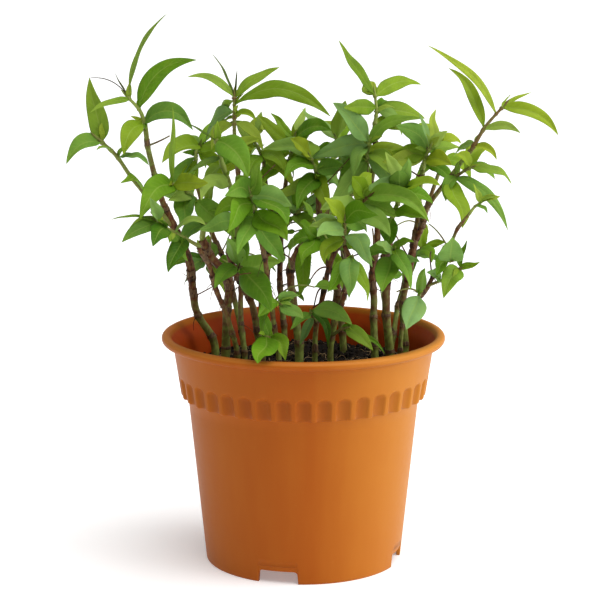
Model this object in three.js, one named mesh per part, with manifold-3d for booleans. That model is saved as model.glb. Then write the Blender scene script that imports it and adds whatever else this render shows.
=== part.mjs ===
// Vietnamese coriander in a moulded plastic nursery pot: pot, soil, upright stems and leafy sprigs.
// Millimetres, +Z up, the ground at z = 0, the front of the plant towards -Y.
import * as THREE from "three";
import * as BufferGeometryUtils from "three/addons/utils/BufferGeometryUtils.js";
import Module from "manifold-3d";

const wasm = await Module();
wasm.setup();
const { Manifold, Mesh } = wasm;

// ---- driving dimensions (mm) ----
const RIM_RADIUS = 80; // outermost edge of the rolled rim
const POT_HEIGHT = 131;
const RIM_ROLL = 5; // height of the rolled lip
const FOOT_RADIUS = 55.6;
const WALL = 2.1;
const BASE_Z = 7.6; // underside of the floor plate, above the foot's edge
const STEP_Z = 95.5; // lower edge of the fluted band
const STEP_RADIUS = 65.4; // lower wall where it meets the band
const BAND_RADIUS = 69.1; // band at its lower edge
const BAND_TOP_Z = 108.5; // where the arches of the flutes end
const COLLAR_RADIUS = 73.8; // wall just below the rim
const FLUTES = 40;
const FLUTE_WIDTH = 8.4;
const FLUTE_DEPTH = 1.5;
const FOOT_NOTCHES = 4;
const NOTCH_WIDTH = 23;
const NOTCH_HEIGHT = 7;
const NOTCH_TURN = 15; // degrees from the front to the first notch
const SOIL_Z = 112.5;
const SOIL_RELIEF = 1.6; // height of the soil's lumps
const GAP = 0.3; // clear space between pieces that meet
const LEAF_THICKNESS = 0.9;
const LEAF_FOLD = 0.3; // rise of a leaf's edges over half its width
const LEAF_STATIONS = [
  // part of the length, part of the full width
  [0.13, 0.22],
  [0.4, 1],
  [0.74, 0.58],
];
const LEAF_TURNS = [0, 8, -8, 16, -16, 25, -25, 35, -35, 48, -48, 65, -65]; // degrees tried about +Z
const LAST_LEAF_AT = 0.94; // the end leaves start this far along the sprig
const POT_SEGMENTS = 80;
const SOIL_SECTORS = 24;
const STEM_SIDES = 6;
const SPRIG_SIDES = 5;

// Stems out of the soil: name, stem it grows from, radius at foot and top, points along it.
const CANES = [
  ["stem_01", "", 2.4, 1.4, [[-52, 26, 100], [-52, 26, 118], [-62, 21, 142], [-64, 14, 167],
    [-74, 8, 193], [-82, 0, 216], [-87, -8, 247]]],
  ["stem_02", "", 2.6, 2, [[-45, -4, 100], [-44, -3, 124], [-42, -6, 150], [-43, -10, 165],
    [-51, -10, 176], [-56, -14, 186]]],
  ["stem_03", "", 2.2, 1.6, [[-23, -12, 100], [-25, -14, 130], [-28, -18, 148], [-32, -21, 159],
    [-38, -26, 172], [-41, -30, 182]]],
  ["stem_04", "", 1.6, 1.1, [[-33, 8, 100], [-34, 10, 121], [-36, 16, 146], [-35, 22, 167],
    [-36, 27, 193], [-38, 27, 219], [-39, 22, 243]]],
  ["stem_05", "", 2.6, 1.3, [[-3, -8, 100], [-3, -8, 125], [-5, -5, 147], [-8, -1, 166], [-2, 4, 177],
    [8, 5, 188], [15, 6, 199], [24, 8, 205], [32, 11, 214], [36, 14, 224]]],
  ["stem_06", "", 2.1, 1.4, [[24, 30, 100], [23, 30, 117], [21, 32, 140], [19, 31, 153], [13, 28, 168],
    [11, 28, 182], [9, 30, 196], [9, 32, 210]]],
  ["stem_07", "", 2.2, 1.4, [[41, 4, 100], [40, 4, 122], [40, 6, 146], [39, 7, 159], [41, 10, 173],
    [42, 14, 190], [39, 16, 209], [40, 16, 227], [40, 16, 245]]],
  ["stem_08", "", 2.6, 1.8, [[48, -16, 100], [48, -16, 124], [46, -22, 151], [45, -26, 164],
    [45, -29, 176], [47, -31, 189], [48, -34, 200]]],
  ["stem_09", "", 2.2, 1.4, [[57, 16, 100], [58, 17, 119], [57, 17, 143], [58, 16, 153], [61, 12, 169],
    [64, 10, 188], [65, 7, 208], [67, 6, 222]]],
  ["stem_10", "stem_09", 1.6, 1.1, [[64, 10, 183], [68, -3, 199], [75, -13, 214], [84, -19, 227],
    [92, -23, 238]]],
  ["stem_11", "", 1.4, 0.8, [[52, -26, 100], [53, -26, 126], [56, -29, 144], [62, -32, 156],
    [68, -36, 164], [74, -40, 176], [78, -43, 185], [83, -47, 197], [89, -48, 206]]],
  ["stem_12", "", 1.8, 1.2, [[15, -34, 100], [15, -34, 128], [18, -41, 149], [23, -48, 164],
    [25, -51, 179], [22, -50, 189]]],
  ["stem_13", "", 1.7, 1.1, [[-23, 40, 100], [-24, 41, 117], [-24, 44, 140], [-21, 47, 162],
    [-18, 48, 184], [-21, 50, 204], [-23, 50, 221]]],
  ["stem_14", "", 1.8, 1.2, [[-11, 44, 100], [-11, 45, 113], [-13, 50, 139], [-14, 54, 161],
    [-13, 57, 183], [-11, 58, 203], [-9, 56, 216]]],
  ["stem_15", "", 1.6, 1.1, [[7, -22, 100], [6, -22, 125], [9, -24, 148], [12, -27, 166],
    [17, -27, 180], [23, -27, 191], [26, -28, 200]]],
  ["stem_16", "", 1.7, 1.1, [[16, 56, 100], [17, 57, 114], [19, 60, 137], [23, 59, 160], [25, 60, 182],
    [24, 58, 203], [22, 56, 220]]],
  ["stem_17", "", 1.6, 1.1, [[49, 32, 100], [51, 34, 116], [56, 44, 140], [62, 52, 162], [68, 57, 180],
    [75, 59, 200], [80, 58, 216]]],
  ["stem_18", "", 1.6, 1.1, [[-37, -32, 100], [-37, -32, 128], [-41, -40, 146], [-46, -47, 160],
    [-50, -55, 177], [-56, -62, 190]]],
  ["stem_19", "", 1.8, 1.1, [[-34, 46, 100], [-36, 48, 116], [-40, 54, 138], [-46, 61, 160],
    [-56, 65, 181], [-61, 64, 202], [-63, 62, 217]]],
  ["stem_20", "", 1.7, 1.1, [[-15, -40, 100], [-14, -40, 129], [-17, -48, 153], [-19, -54, 171],
    [-22, -59, 187], [-25, -62, 202]]],
];

// Sprigs: name, stem, radius at foot and top, points along it, then its leaves, each as part of the
// way along the sprig, tip, width, arch and roll in degrees.
const SPRIGS = [
  ["sprig_01", "stem_01", 1.3, 0.8, [[-87, -8, 248], [-90, -8, 257], [-97, -8, 265]], [
    [1, [-74, -18, 311], 4.2, 5.5, 55],
    [0.55, [-57, -22, 285], 10, 9, 75],
    [0.95, [-117, -18, 276], 1.3, 4, 0],
    [0.9, [-115, -35, 259], 4.6, 2, 50],
    [1, [-104, -1, 277], 1.4, 0, 0],
    [0.12, [-60, -28, 248], 13, 9, 50],
    [0.05, [-98, -25, 235], 11, 6, 60],
  ]],
  ["sprig_02", "stem_01", 1.5, 0.9, [[-75, 8, 191], [-84, -2, 205], [-95, -9, 220], [-103, -14, 233], [-113, -17, 243]], [
    [1, [-129, -27, 230], 9.5, 5, 55],
    [1, [-118, -7, 275], 11, 0, 70],
    [0.82, [-112, -34, 238], 3, 2, 30],
    [0.72, [-84, -30, 229], 5.5, 4, 50],
    [0.35, [-99, -37, 221], 7, 5, 40],
  ]],
  ["sprig_03", "stem_02", 1.7, 1, [[-56, -14, 187], [-55, -24, 198], [-59, -34, 211], [-65, -42, 218], [-72, -46, 222]], [
    [1, [-69, -57, 264], 3.2, -1, 40],
    [1, [-50, -74, 227], 9.8, 0.5, 60],
    [0.9, [-86, -74, 207], 14, 7, 65],
    [0.6, [-65, -67, 200], 11.5, 2, 55],
    [0.45, [-72, -60, 213], 10.3, 5, 40],
    [0.3, [-42, -43, 206], 9.2, 0.5, 40],
    [0.5, [-79, -20, 211], 10.3, 4, 45],
    [0.52, [-38, -42, 191], 13, 2.5, 60],
    [0.2, [-66, -50, 186], 10, 5, 50],
    [0.75, [-58, -40, 228], 9, 0.5, 50],
  ]],
  ["sprig_04", "stem_18", 1.1, 0.8, [[-56, -62, 191], [-64, -64, 196], [-72, -67, 201], [-78, -67, 205]], [
    [1, [-95, -81, 196], 8, 2, 50],
    [0.95, [-101, -77, 207], 3.5, 3, 30],
    [0.9, [-81, -74, 218], 7, 0.5, 50],
    [0.7, [-78, -94, 196], 11, 3, 55],
    [0.3, [-71, -84, 181], 10, 1.5, 50],
    [0.5, [-51, -81, 205], 8, 5, 45],
    [0.6, [-61, -69, 184], 8, 0.5, 50],
    [0.8, [-93, -63, 199], 7, 3, 50],
  ]],
  ["sprig_05", "stem_04", 1.1, 0.7, [[-39, 22, 244], [-39, 22, 253], [-39, 22, 262]], [
    [1, [-65, 12, 273], 6.5, 5, 45],
    [1, [-52, 31, 285], 2, 2, 20],
    [1, [-37, 25, 277], 1.5, 0, 0],
    [0.9, [-13, 38, 276], 6.5, 3, 45],
    [0.72, [15, -2, 253], 11.5, 12, 50],
    [0.85, [-50, 45, 239], 6.5, 5, 50],
    [0.4, [-26, 8, 250], 4.5, 3, 40],
    [0.3, [-48, 38, 241], 6, 3, 30],
    [0.5, [-57, 52, 233], 10.3, 5, 45],
    [0.15, [-24, 28, 229], 8, 4, 50],
    [0.1, [-52, 26, 231], 8, 4, 50],
  ]],
  ["sprig_06", "stem_03", 1.6, 0.9, [[-41, -30, 183], [-36, -38, 197], [-38, -42, 215], [-44, -45, 234], [-47, -45, 248]], [
    [1, [-62, -55, 256], 3.5, 0.5, 30],
    [1, [-29, -79, 229], 15, 6, 60],
    [0.78, [-61, -65, 230], 4.5, 1.5, 40],
    [0.62, [-58, -72, 219], 11.5, 5, 55],
    [0.85, [-22, -55, 246], 10.3, 0.5, 45],
    [0.45, [-15, -79, 217], 12.6, 5, 50],
    [0.3, [-55, -69, 198], 10.3, 2, 50],
    [0.7, [-29, -23, 237], 10.3, 5, 45],
    [0.55, [-33, -39, 203], 11, 0.5, 55],
    [0.25, [-21, -43, 200], 12, 4.5, 55],
    [0.15, [-31, -45, 179], 10, 2, 55],
    [0.72, [-63, -41, 204], 10, 5, 55],
    [0.95, [-35, -37, 239], 8, 0.5, 50],
  ]],
  ["sprig_07", "stem_14", 1.2, 0.8, [[-9, 56, 218], [-7, 51, 226], [-5, 46, 236]], [
    [0.75, [-26, 36, 250], 9.8, -1, 50],
    [1, [-19, 55, 249], 5.5, 0, 50],
    [0.9, [16, 32, 241], 12.6, 5, 45],
    [0.5, [-24, 66, 213], 9.2, 2, 45],
    [0.3, [7, 29, 218], 10.3, 5, 45],
    [1, [1, 66, 252], 5, 0, 40],
    [0.6, [-2, 80, 224], 10.3, 4, 45],
    [0.2, [-31, 44, 204], 11, 2, 55],
    [0.1, [15, 48, 221], 10, 5, 55],
    [0.6, [8, 52, 246], 8, 0.5, 50],
  ]],
  ["sprig_08", "stem_13", 1.1, 0.8, [[-23, 50, 222], [-26, 48, 229], [-30, 45, 236]], [
    [1, [-39, 38, 247], 9.2, 0.5, 50],
    [1, [-17, 54, 240], 9.2, 5, 50],
    [0.6, [-47, 42, 228], 10.3, 0.5, 40],
    [0.4, [-8, 58, 203], 10.3, 4.5, 45],
    [0.2, [-37, 28, 211], 10.3, 2, 50],
    [0.5, [-32, 79, 218], 10.3, 5, 45],
    [0.8, [-47, 45, 213], 11, 0.5, 55],
    [0.3, [-11, 43, 216], 11, 4, 55],
    [0.1, [-23, 43, 196], 11, 2, 55],
    [0.9, [-24, 51, 250], 7, 1, 50],
  ]],
  ["sprig_09", "stem_05", 1.3, 0.9, [[36, 14, 225], [36, 12, 232], [37, 6, 238]], [
    [1, [16, -7, 261], 12.6, 1.5, 60],
    [1, [8, 36, 225], 12.6, 2, 60],
    [0.9, [65, -4, 254], 10.3, 5, 50],
    [0.8, [21, 26, 259], 10.3, 0, 40],
    [0.4, [51, -10, 219], 10.3, 4, 50],
    [0.3, [20, 33, 208], 10.3, 2, 50],
    [0.5, [28, 36, 242], 10.3, 5, 45],
    [0.6, [63, 6, 232], 11, 0.5, 55],
    [0.2, [54, 4, 202], 12, 4.5, 55],
    [0.1, [15, 6, 196], 11, 2, 55],
    [0.7, [27, -2, 219], 9, 4, 50],
  ]],
  ["sprig_10", "stem_07", 1.2, 0.7, [[40, 16, 246], [41, 16, 254], [40, 16, 264]], [
    [1, [20, 6, 295], 7, -1, 55],
    [0.9, [67, 36, 267], 9, 5, 65],
    [0.6, [22, -11, 258], 9, 1, 75],
    [0.5, [70, 46, 247], 11, 2, 75],
    [1, [34, 26, 269], 9, 0, 30],
    [0.1, [61, 29, 236], 8, 4, 45],
    [0.35, [51, 46, 250], 9, 5, 45],
    [0.5, [56, 20, 240], 8, 4, 50],
    [0.05, [26, 20, 230], 9, 4, 50],
  ]],
  ["sprig_11", "stem_10", 1.2, 0.7, [[92, -23, 238], [99, -23, 250], [109, -20, 261]], [
    [0.8, [66, -30, 294], 5.2, 5.5, 55],
    [0.45, [80, 3, 279], 6.8, 6, 55],
    [1, [138, -27, 245], 8, 6, 55],
    [1, [125, -7, 268], 3, 0.5, 30],
    [0.4, [117, -34, 247], 5.5, 4, 45],
    [0.1, [84, 3, 229], 6, 3, 40],
    [0.05, [105, -30, 233], 5, 3, 40],
  ]],
  ["sprig_12", "stem_10", 1, 0.7, [[78, -14, 217], [87, -22, 225], [91, -27, 228]], [
    [1, [112, -34, 218], 7, 5, 50],
    [0.25, [109, -54, 197], 7.5, 8, 55],
    [0.2, [85, -47, 196], 12, 4, 60],
    [0.9, [82, -30, 235], 7, 3, 50],
    [0.6, [102, -1, 234], 9, 5, 45],
    [0.3, [78, -27, 209], 7, 4, 50],
    [0.9, [104, -23, 220], 6, 4, 50],
  ]],
  ["sprig_13", "stem_11", 0.9, 0.6, [[89, -48, 206], [92, -48, 210], [95, -48, 212]], [
    [1, [103, -51, 215], 3, 1.5, 30],
    [1, [91, -45, 222], 4, 0.5, 40],
    [0.5, [98, -55, 207], 3, 2, 30],
  ]],
  ["sprig_14", "stem_11", 0.8, 0.6, [[75, -40, 177], [77, -48, 180], [79, -53, 181]], [
    [1, [79, -63, 196], 14, 0, 65],
    [0.6, [71, -56, 174], 7, 2, 60],
  ]],
  ["sprig_15", "stem_11", 0.9, 0.6, [[69, -37, 165], [78, -42, 170], [86, -44, 176]], [
    [0.9, [75, -58, 162], 11, 3, 65],
    [1, [95, -51, 180], 4, 0, 50],
    [1, [89, -44, 191], 4, 1, 50],
    [0.3, [66, -54, 175], 6, 1, 50],
  ]],
  ["sprig_16", "stem_11", 0.8, 0.6, [[57, -30, 149], [60, -40, 156], [63, -48, 162]], [
    [1, [55, -65, 146], 13, 1, 70],
    [1, [68, -55, 177], 6, 2, 50],
  ]],
  ["sprig_17", "stem_09", 1.2, 0.8, [[67, 6, 223], [68, 1, 230], [70, -4, 236]], [
    [1, [63, -14, 256], 5, 1.5, 50],
    [1, [89, 16, 232], 7, 1.5, 50],
    [0.8, [51, -7, 248], 11.5, 4, 55],
    [0.5, [43, 5, 228], 10.3, 0.5, 50],
    [0.3, [81, -21, 228], 10.3, 3, 60],
    [1, [75, 22, 253], 6, 1, 40],
    [0.4, [61, 24, 237], 10.3, 5, 45],
    [0.6, [49, -2, 232], 11, 0.5, 55],
    [0.2, [85, -2, 211], 8, 4, 50],
    [0.9, [80, 2, 245], 7, 1, 50],
  ]],
  ["sprig_18", "stem_17", 1.1, 0.7, [[80, 58, 217], [81, 56, 224], [80, 53, 231]], [
    [1, [66, 46, 243], 10.3, 0.5, 45],
    [1, [92, 59, 231], 7, 3, 40],
    [0.5, [58, 46, 228], 10.3, 2, 40],
    [0.2, [98, 62, 208], 9.2, 5, 40],
    [0.4, [81, 85, 234], 10.3, 0.5, 45],
    [0.8, [70, 55, 218], 9, 3, 50],
    [0.35, [64, 53, 209], 8, 2, 50],
  ]],
  ["sprig_19", "stem_15", 1.2, 0.8, [[26, -28, 202], [30, -36, 209], [35, -40, 214]], [
    [1, [67, -61, 204], 11.5, 7.5, 55],
    [0.6, [9, -61, 208], 11.5, 0.5, 60],
    [0.8, [26, -51, 227], 10.3, 2, 55],
    [0.4, [46, -68, 198], 11.5, 2, 55],
    [0.5, [38, -16, 222], 10.3, 5, 45],
    [0.9, [50, -36, 225], 10, 0.5, 50],
    [0.2, [22, -40, 189], 10, 4, 55],
    [0.5, [52, -36, 203], 11, 2, 55],
  ]],
  ["sprig_20", "stem_16", 1.2, 0.8, [[22, 56, 221], [21, 51, 229], [19, 46, 235]], [
    [1, [24, 36, 258], 10.3, 0, 40],
    [1, [1, 62, 239], 10.3, 5, 45],
    [0.7, [41, 36, 235], 10.3, 0.5, 45],
    [0.4, [1, 66, 215], 10.3, 4, 45],
    [0.2, [39, 39, 213], 10.3, 2, 45],
    [0.5, [29, 78, 242], 10.3, 5, 45],
    [0.9, [-2, 50, 250], 9, 0.5, 50],
    [0.6, [44, 46, 219], 11, 4, 55],
    [0.1, [5, 50, 201], 11, 2, 55],
    [0.3, [26, 48, 199], 10, 5, 55],
  ]],
  ["sprig_21", "stem_06", 1.2, 0.8, [[9, 32, 211], [7, 27, 219], [4, 22, 227]], [
    [1, [-8, 12, 238], 10.3, 2, 50],
    [1, [19, 38, 234], 11.5, 2, 55],
    [0.7, [-11, 5, 218], 11.5, 5, 55],
    [0.4, [28, 42, 206], 11.5, 0.5, 55],
    [0.2, [-4, 5, 201], 11.5, 4.5, 55],
    [0.3, [11, 52, 216], 10.3, 2, 45],
    [0.9, [-24, 24, 230], 11, 5, 55],
    [0.5, [24, 26, 221], 11, 0.5, 55],
    [0.1, [-20, 22, 194], 11, 4.5, 55],
    [0.35, [13, 18, 195], 10, 2, 55],
  ]],
  ["sprig_22", "stem_08", 1.4, 0.9, [[48, -34, 201], [51, -36, 210], [53, -39, 218]], [
    [1, [56, -46, 236], 9.2, 0, 50],
    [0.9, [73, -56, 220], 10.3, 4, 50],
    [0.8, [37, -49, 230], 11.5, 1.5, 55],
    [0.5, [33, -66, 204], 13.8, 5, 60],
    [0.3, [66, -59, 203], 9.2, 0.5, 50],
    [0.6, [52, -15, 226], 10.3, 4, 45],
    [0.9, [44, -37, 238], 10, 1.5, 50],
    [0.6, [70, -35, 208], 9, 5, 55],
    [0.1, [41, -39, 187], 10, 0.5, 55],
  ]],
  ["sprig_23", "stem_08", 1.1, 0.8, [[45, -29, 174], [48, -38, 181], [49, -45, 186]], [
    [1, [57, -72, 170], 9, 4, 60],
    [0.9, [38, -65, 191], 8, 0.5, 50],
    [0.6, [59, -52, 192], 7, 3, 50],
    [0.5, [42, -69, 165], 14, 1, 60],
    [0.8, [34, -43, 179], 8, 4, 50],
    [0.3, [63, -43, 179], 8, 0.5, 50],
  ]],
  ["sprig_24", "stem_05", 1.2, 0.8, [[1, 4, 181], [5, -6, 185], [8, -14, 187]], [
    [1, [31, -37, 181], 10.3, 2, 55],
    [0.8, [-1, -44, 175], 10.3, 4, 60],
    [1, [-2, -34, 199], 10.3, 0.5, 50],
    [0.5, [19, -24, 198], 10.3, 4, 50],
    [0.9, [19, -14, 172], 8, 2, 55],
    [0.5, [25, -18, 153], 8, 5, 55],
    [0.2, [-2, -16, 153], 9, 0.5, 55],
    [0.7, [-6, -8, 181], 10, 3, 50],
  ]],
  ["sprig_25", "stem_03", 1.2, 0.8, [[-38, -26, 172], [-36, -36, 174], [-34, -43, 176]], [
    [1, [-6, -77, 160], 15, 3, 60],
    [0.8, [-30, -64, 196], 10.3, 1, 50],
    [0.6, [-47, -71, 168], 10.3, 4, 55],
    [0.5, [-12, -33, 176], 13, 0.5, 55],
    [0.3, [-23, -31, 156], 9, 3, 55],
  ]],
  ["sprig_26", "stem_20", 1.1, 0.8, [[-25, -62, 203], [-26, -64, 212], [-28, -67, 220]], [
    [1, [-22, -74, 238], 10.3, 0, 55],
    [0.9, [-41, -81, 221], 11.5, 4, 55],
    [0.9, [-6, -81, 215], 13.8, 2, 60],
    [0.6, [-40, -87, 203], 12.6, 5, 60],
    [0.4, [-8, -91, 200], 12.6, 0.5, 60],
    [0.2, [-34, -94, 190], 10.3, 3, 60],
    [0.7, [-22, -41, 225], 10.3, 2, 45],
    [0.8, [-1, -71, 204], 12, 5.5, 55],
    [0.12, [-12, -67, 182], 12, 0.5, 55],
    [0.5, [-47, -65, 207], 12, 4, 55],
    [0.3, [-19, -63, 199], 10, 1.5, 50],
  ]],
  ["sprig_27", "stem_20", 1, 0.7, [[-17, -50, 159], [-15, -58, 160], [-13, -63, 160]], [
    [1, [-24, -76, 155], 8, 3, 60],
    [1, [0, -73, 154], 7, 0.5, 50],
    [0.5, [-22, -61, 141], 5, 3, 50],
    [0.8, [-2, -59, 163], 7, 1, 50],
  ]],
  ["sprig_28", "stem_20", 1, 0.7, [[-14, -41, 132], [-17, -53, 138], [-20, -63, 142]], [
    [1, [-24, -90, 132], 13, 1, 70],
    [0.7, [-10, -67, 129], 9, 4, 50],
    [0.6, [-22, -60, 155], 8, 0, 50],
  ]],
  ["sprig_29", "stem_15", 1, 0.7, [[7, -24, 142], [5, -33, 147], [4, -40, 151]], [
    [1, [26, -61, 148], 10, 4, 55],
    [0.8, [-7, -57, 144], 6, 1, 60],
    [0.9, [14, -42, 132], 5, 4, 50],
    [0.4, [-2, -42, 132], 5, 0.5, 50],
  ]],
  ["sprig_30", "stem_12", 1, 0.7, [[22, -50, 190], [22, -52, 197], [22, -55, 203]], [
    [1, [11, -65, 218], 10.3, 0.5, 50],
    [1, [39, -72, 210], 11.5, 4, 55],
    [0.6, [7, -75, 197], 10.3, 2, 55],
    [0.3, [36, -79, 182], 10.3, 5.5, 55],
    [0.4, [26, -29, 208], 10.3, 0.5, 45],
    [0.8, [44, -51, 194], 11, 4, 55],
    [0.5, [3, -53, 200], 9, 1.5, 50],
    [0.15, [11, -55, 180], 9, 5, 55],
    [0.3, [38, -49, 180], 5, 0.5, 50],
  ]],
  ["sprig_31", "stem_12", 1, 0.7, [[25, -51, 177], [26, -58, 182], [26, -63, 185]], [
    [1, [24, -80, 166], 11, 4, 70],
    [0.7, [12, -73, 169], 8, 0.5, 60],
    [0.5, [33, -61, 160], 8, 3, 50],
  ]],
  ["sprig_32", "stem_12", 1, 0.7, [[16, -37, 137], [20, -46, 142], [23, -51, 144]], [
    [1, [37, -64, 134], 8, 2, 55],
    [0.6, [31, -71, 130], 4, 4, 50],
  ]],
  ["sprig_33", "stem_19", 1.2, 0.8, [[-63, 62, 219], [-62, 54, 226], [-60, 50, 231]], [
    [1, [-80, 29, 221], 14, 4, 50],
    [1, [-48, 66, 245], 7, 1, 40],
    [0.7, [-41, 36, 224], 9.2, 5, 40],
    [0.3, [-81, 62, 199], 10.3, 0.5, 40],
    [0.5, [-58, 84, 213], 10.3, 4, 45],
    [0.9, [-73, 58, 231], 9, 1.5, 50],
    [0.5, [-48, 50, 207], 10, 5, 55],
    [0.15, [-70, 54, 194], 10, 0.5, 55],
  ]],
  ["sprig_34", "stem_14", 1.2, 0.8, [[-13, 56, 179], [-6, 50, 188], [0, 45, 195]], [
    [1, [15, 31, 206], 11.5, 0.5, 45],
    [1, [-4, 57, 210], 10.3, 1.5, 40],
    [0.6, [8, 31, 178], 11.5, 2, 45],
    [0.3, [-24, 61, 189], 10.3, 5, 45],
    [0.6, [-4, 75, 197], 10.3, 0.5, 45],
    [0.8, [25, 49, 189], 11, 4, 55],
    [0.5, [15, 45, 172], 10, 2, 55],
    [0.2, [-21, 49, 174], 11, 5, 55],
    [0.9, [-16, 47, 203], 9, 0.5, 50],
  ]],
  ["sprig_35", "stem_19", 1.1, 0.8, [[-47, 63, 158], [-54, 53, 161], [-58, 45, 163]], [
    [1, [-68, 28, 155], 9.2, 4, 45],
    [1, [-53, 65, 175], 9.2, 0.5, 40],
    [0.6, [-45, 31, 145], 9.2, 3, 50],
    [0.5, [-55, 15, 181], 10.3, 2, 45],
    [0.9, [-78, 47, 158], 9, 4, 50],
    [0.3, [-38, 51, 162], 9, 0.5, 50],
    [0.7, [-63, 53, 174], 8, 2, 50],
  ]],
  ["sprig_36", "stem_17", 1.1, 0.8, [[63, 57, 163], [66, 47, 168], [69, 39, 172]], [
    [1, [82, 29, 177], 7, 1.5, 40],
    [1, [71, 55, 185], 7, 2, 40],
    [0.5, [58, 39, 151], 8, 0.5, 45],
    [0.7, [73, 13, 169], 9, 4, 45],
    [0.3, [81, 43, 162], 7, 1, 50],
  ]],
];

const UP = new THREE.Vector3(0, 0, 1);
const FRONT = new THREE.Vector3(0, -1, 0);

/** A geometry as a closed manifold solid. */
function solid(geometry) {
  const g = geometry.clone();
  g.deleteAttribute("normal");
  g.deleteAttribute("uv");
  const merged = BufferGeometryUtils.mergeVertices(g, 1e-4);
  return new Manifold(
    new Mesh({
      numProp: 3,
      vertProperties: Float32Array.from(merged.attributes.position.array),
      triVerts: Uint32Array.from(merged.index.array),
    }),
  );
}

/** A manifold solid as a geometry. */
function geometryOf(body) {
  const mesh = body.getMesh();
  const g = new THREE.BufferGeometry();
  g.setAttribute("position", new THREE.BufferAttribute(Float32Array.from(mesh.vertProperties), 3));
  g.setIndex(new THREE.BufferAttribute(Uint32Array.from(mesh.triVerts), 1));
  g.computeVertexNormals();
  return g;
}

/** A geometry from a list of points and a list of triangles. */
function facets(points, triangles) {
  const g = new THREE.BufferGeometry();
  g.setAttribute("position", new THREE.Float32BufferAttribute(points.flatMap((p) => p.toArray()), 3));
  g.setIndex(triangles.flat());
  return g;
}

/** A smooth curve through points given as [x, y, z]. */
function curveThrough(points) {
  return new THREE.CatmullRomCurve3(points.map((p) => new THREE.Vector3(...p)), false, "catmullrom", 0.5);
}

/** A closed round rod along a curve, its radius running from r0 to r1, grown by margin all round. */
function rod(curve, r0, r1, steps, sides, margin = 0) {
  const frames = curve.computeFrenetFrames(steps, false);
  const points = [];
  const triangles = [];
  for (let i = 0; i <= steps; i++) {
    const s = i / steps;
    const radius = r0 + (r1 - r0) * s + margin;
    // The frame goes by arc length, so it is squared up to the tangent at this point.
    const tangent = curve.getTangent(s);
    const ends = i === 0 ? -margin : i === steps ? margin : 0;
    const centre = curve.getPoint(s).addScaledVector(tangent, ends);
    const across = frames.normals[i].clone();
    across.addScaledVector(tangent, -across.dot(tangent)).normalize();
    const other = tangent.clone().cross(across);
    for (let k = 0; k < sides; k++) {
      const a = (2 * Math.PI * k) / sides;
      points.push(
        centre
          .clone()
          .addScaledVector(across, radius * Math.cos(a))
          .addScaledVector(other, radius * Math.sin(a)),
      );
    }
  }
  for (let i = 0; i < steps; i++) {
    for (let k = 0; k < sides; k++) {
      const a = i * sides + k;
      const b = i * sides + ((k + 1) % sides);
      triangles.push([a, b, b + sides], [a, b + sides, a + sides]);
    }
  }
  const first = points.length;
  points.push(curve.getPoint(0).addScaledVector(curve.getTangent(0), -margin));
  points.push(curve.getPoint(1).addScaledVector(curve.getTangent(1), margin));
  for (let k = 0; k < sides; k++) {
    const b = (k + 1) % sides;
    triangles.push([first, b, k], [first + 1, steps * sides + k, steps * sides + b]);
  }
  return solid(facets(points, triangles));
}

/** A leaf from base to tip: a thin keeled blade, arched up. Roll turns its face from up (0) to front (90). */
function leaf(base, tip, width, arch, roll) {
  const along = tip.clone().sub(base).normalize();
  let rise = UP.clone().addScaledVector(along, -UP.dot(along));
  if (rise.length() < 0.15) rise = FRONT.clone().addScaledVector(along, -FRONT.dot(along));
  rise.normalize();
  const front = FRONT.clone().addScaledVector(along, -FRONT.dot(along));
  if (front.length() < 0.15) front.copy(rise);
  const share = roll / 90;
  const face = rise.clone().multiplyScalar(1 - share).addScaledVector(front.normalize(), share);
  if (face.length() < 0.3) face.copy(rise);
  face.normalize();
  const middle = base.clone().add(tip).multiplyScalar(0.5).addScaledVector(rise, 2 * arch);
  const rib = new THREE.QuadraticBezierCurve3(base, middle, tip);
  const points = [base.clone()];
  for (const [s, part] of LEAF_STATIONS) {
    const centre = rib.getPoint(s);
    const tangent = rib.getTangent(s);
    const normal = face.clone().addScaledVector(tangent, -face.dot(tangent)).normalize();
    const edge = tangent.clone().cross(normal);
    const half = (width * part) / 2;
    const thick = (LEAF_THICKNESS / 2) * (0.6 + 0.4 * part);
    points.push(
      centre.clone().addScaledVector(edge, half).addScaledVector(normal, LEAF_FOLD * half),
      centre.clone().addScaledVector(normal, thick),
      centre.clone().addScaledVector(edge, -half).addScaledVector(normal, LEAF_FOLD * half),
      centre.clone().addScaledVector(normal, -thick),
    );
  }
  points.push(tip.clone());
  const last = points.length - 1;
  const triangles = [];
  for (let k = 0; k < 4; k++) {
    const b = (k + 1) % 4;
    triangles.push([0, 1 + b, 1 + k], [last, last - 4 + k, last - 4 + b]);
    for (let i = 0; i < LEAF_STATIONS.length - 1; i++) {
      const p = 1 + 4 * i;
      triangles.push([p + k, p + b, p + 4 + b], [p + k, p + 4 + b, p + 4 + k]);
    }
  }
  const body = solid(facets(points, triangles));
  return body.volume() > 0 ? body : solid(facets(points, triangles.map(([a, b, c]) => [a, c, b])));
}

/** The largest separate piece of a body. */
function largest(body) {
  return body.decompose().sort((a, b) => b.volume() - a.volume())[0];
}

/** True when the body keeps the gap to every one of the others. */
function isClear(body, others) {
  const box = body.boundingBox();
  return others.every((other) => {
    const far = other.boundingBox();
    const apart = [0, 1, 2].some((i) => box.min[i] - GAP > far.max[i] || far.min[i] - GAP > box.max[i]);
    return apart || body.minGap(other, 2 * GAP) >= GAP;
  });
}

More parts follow.
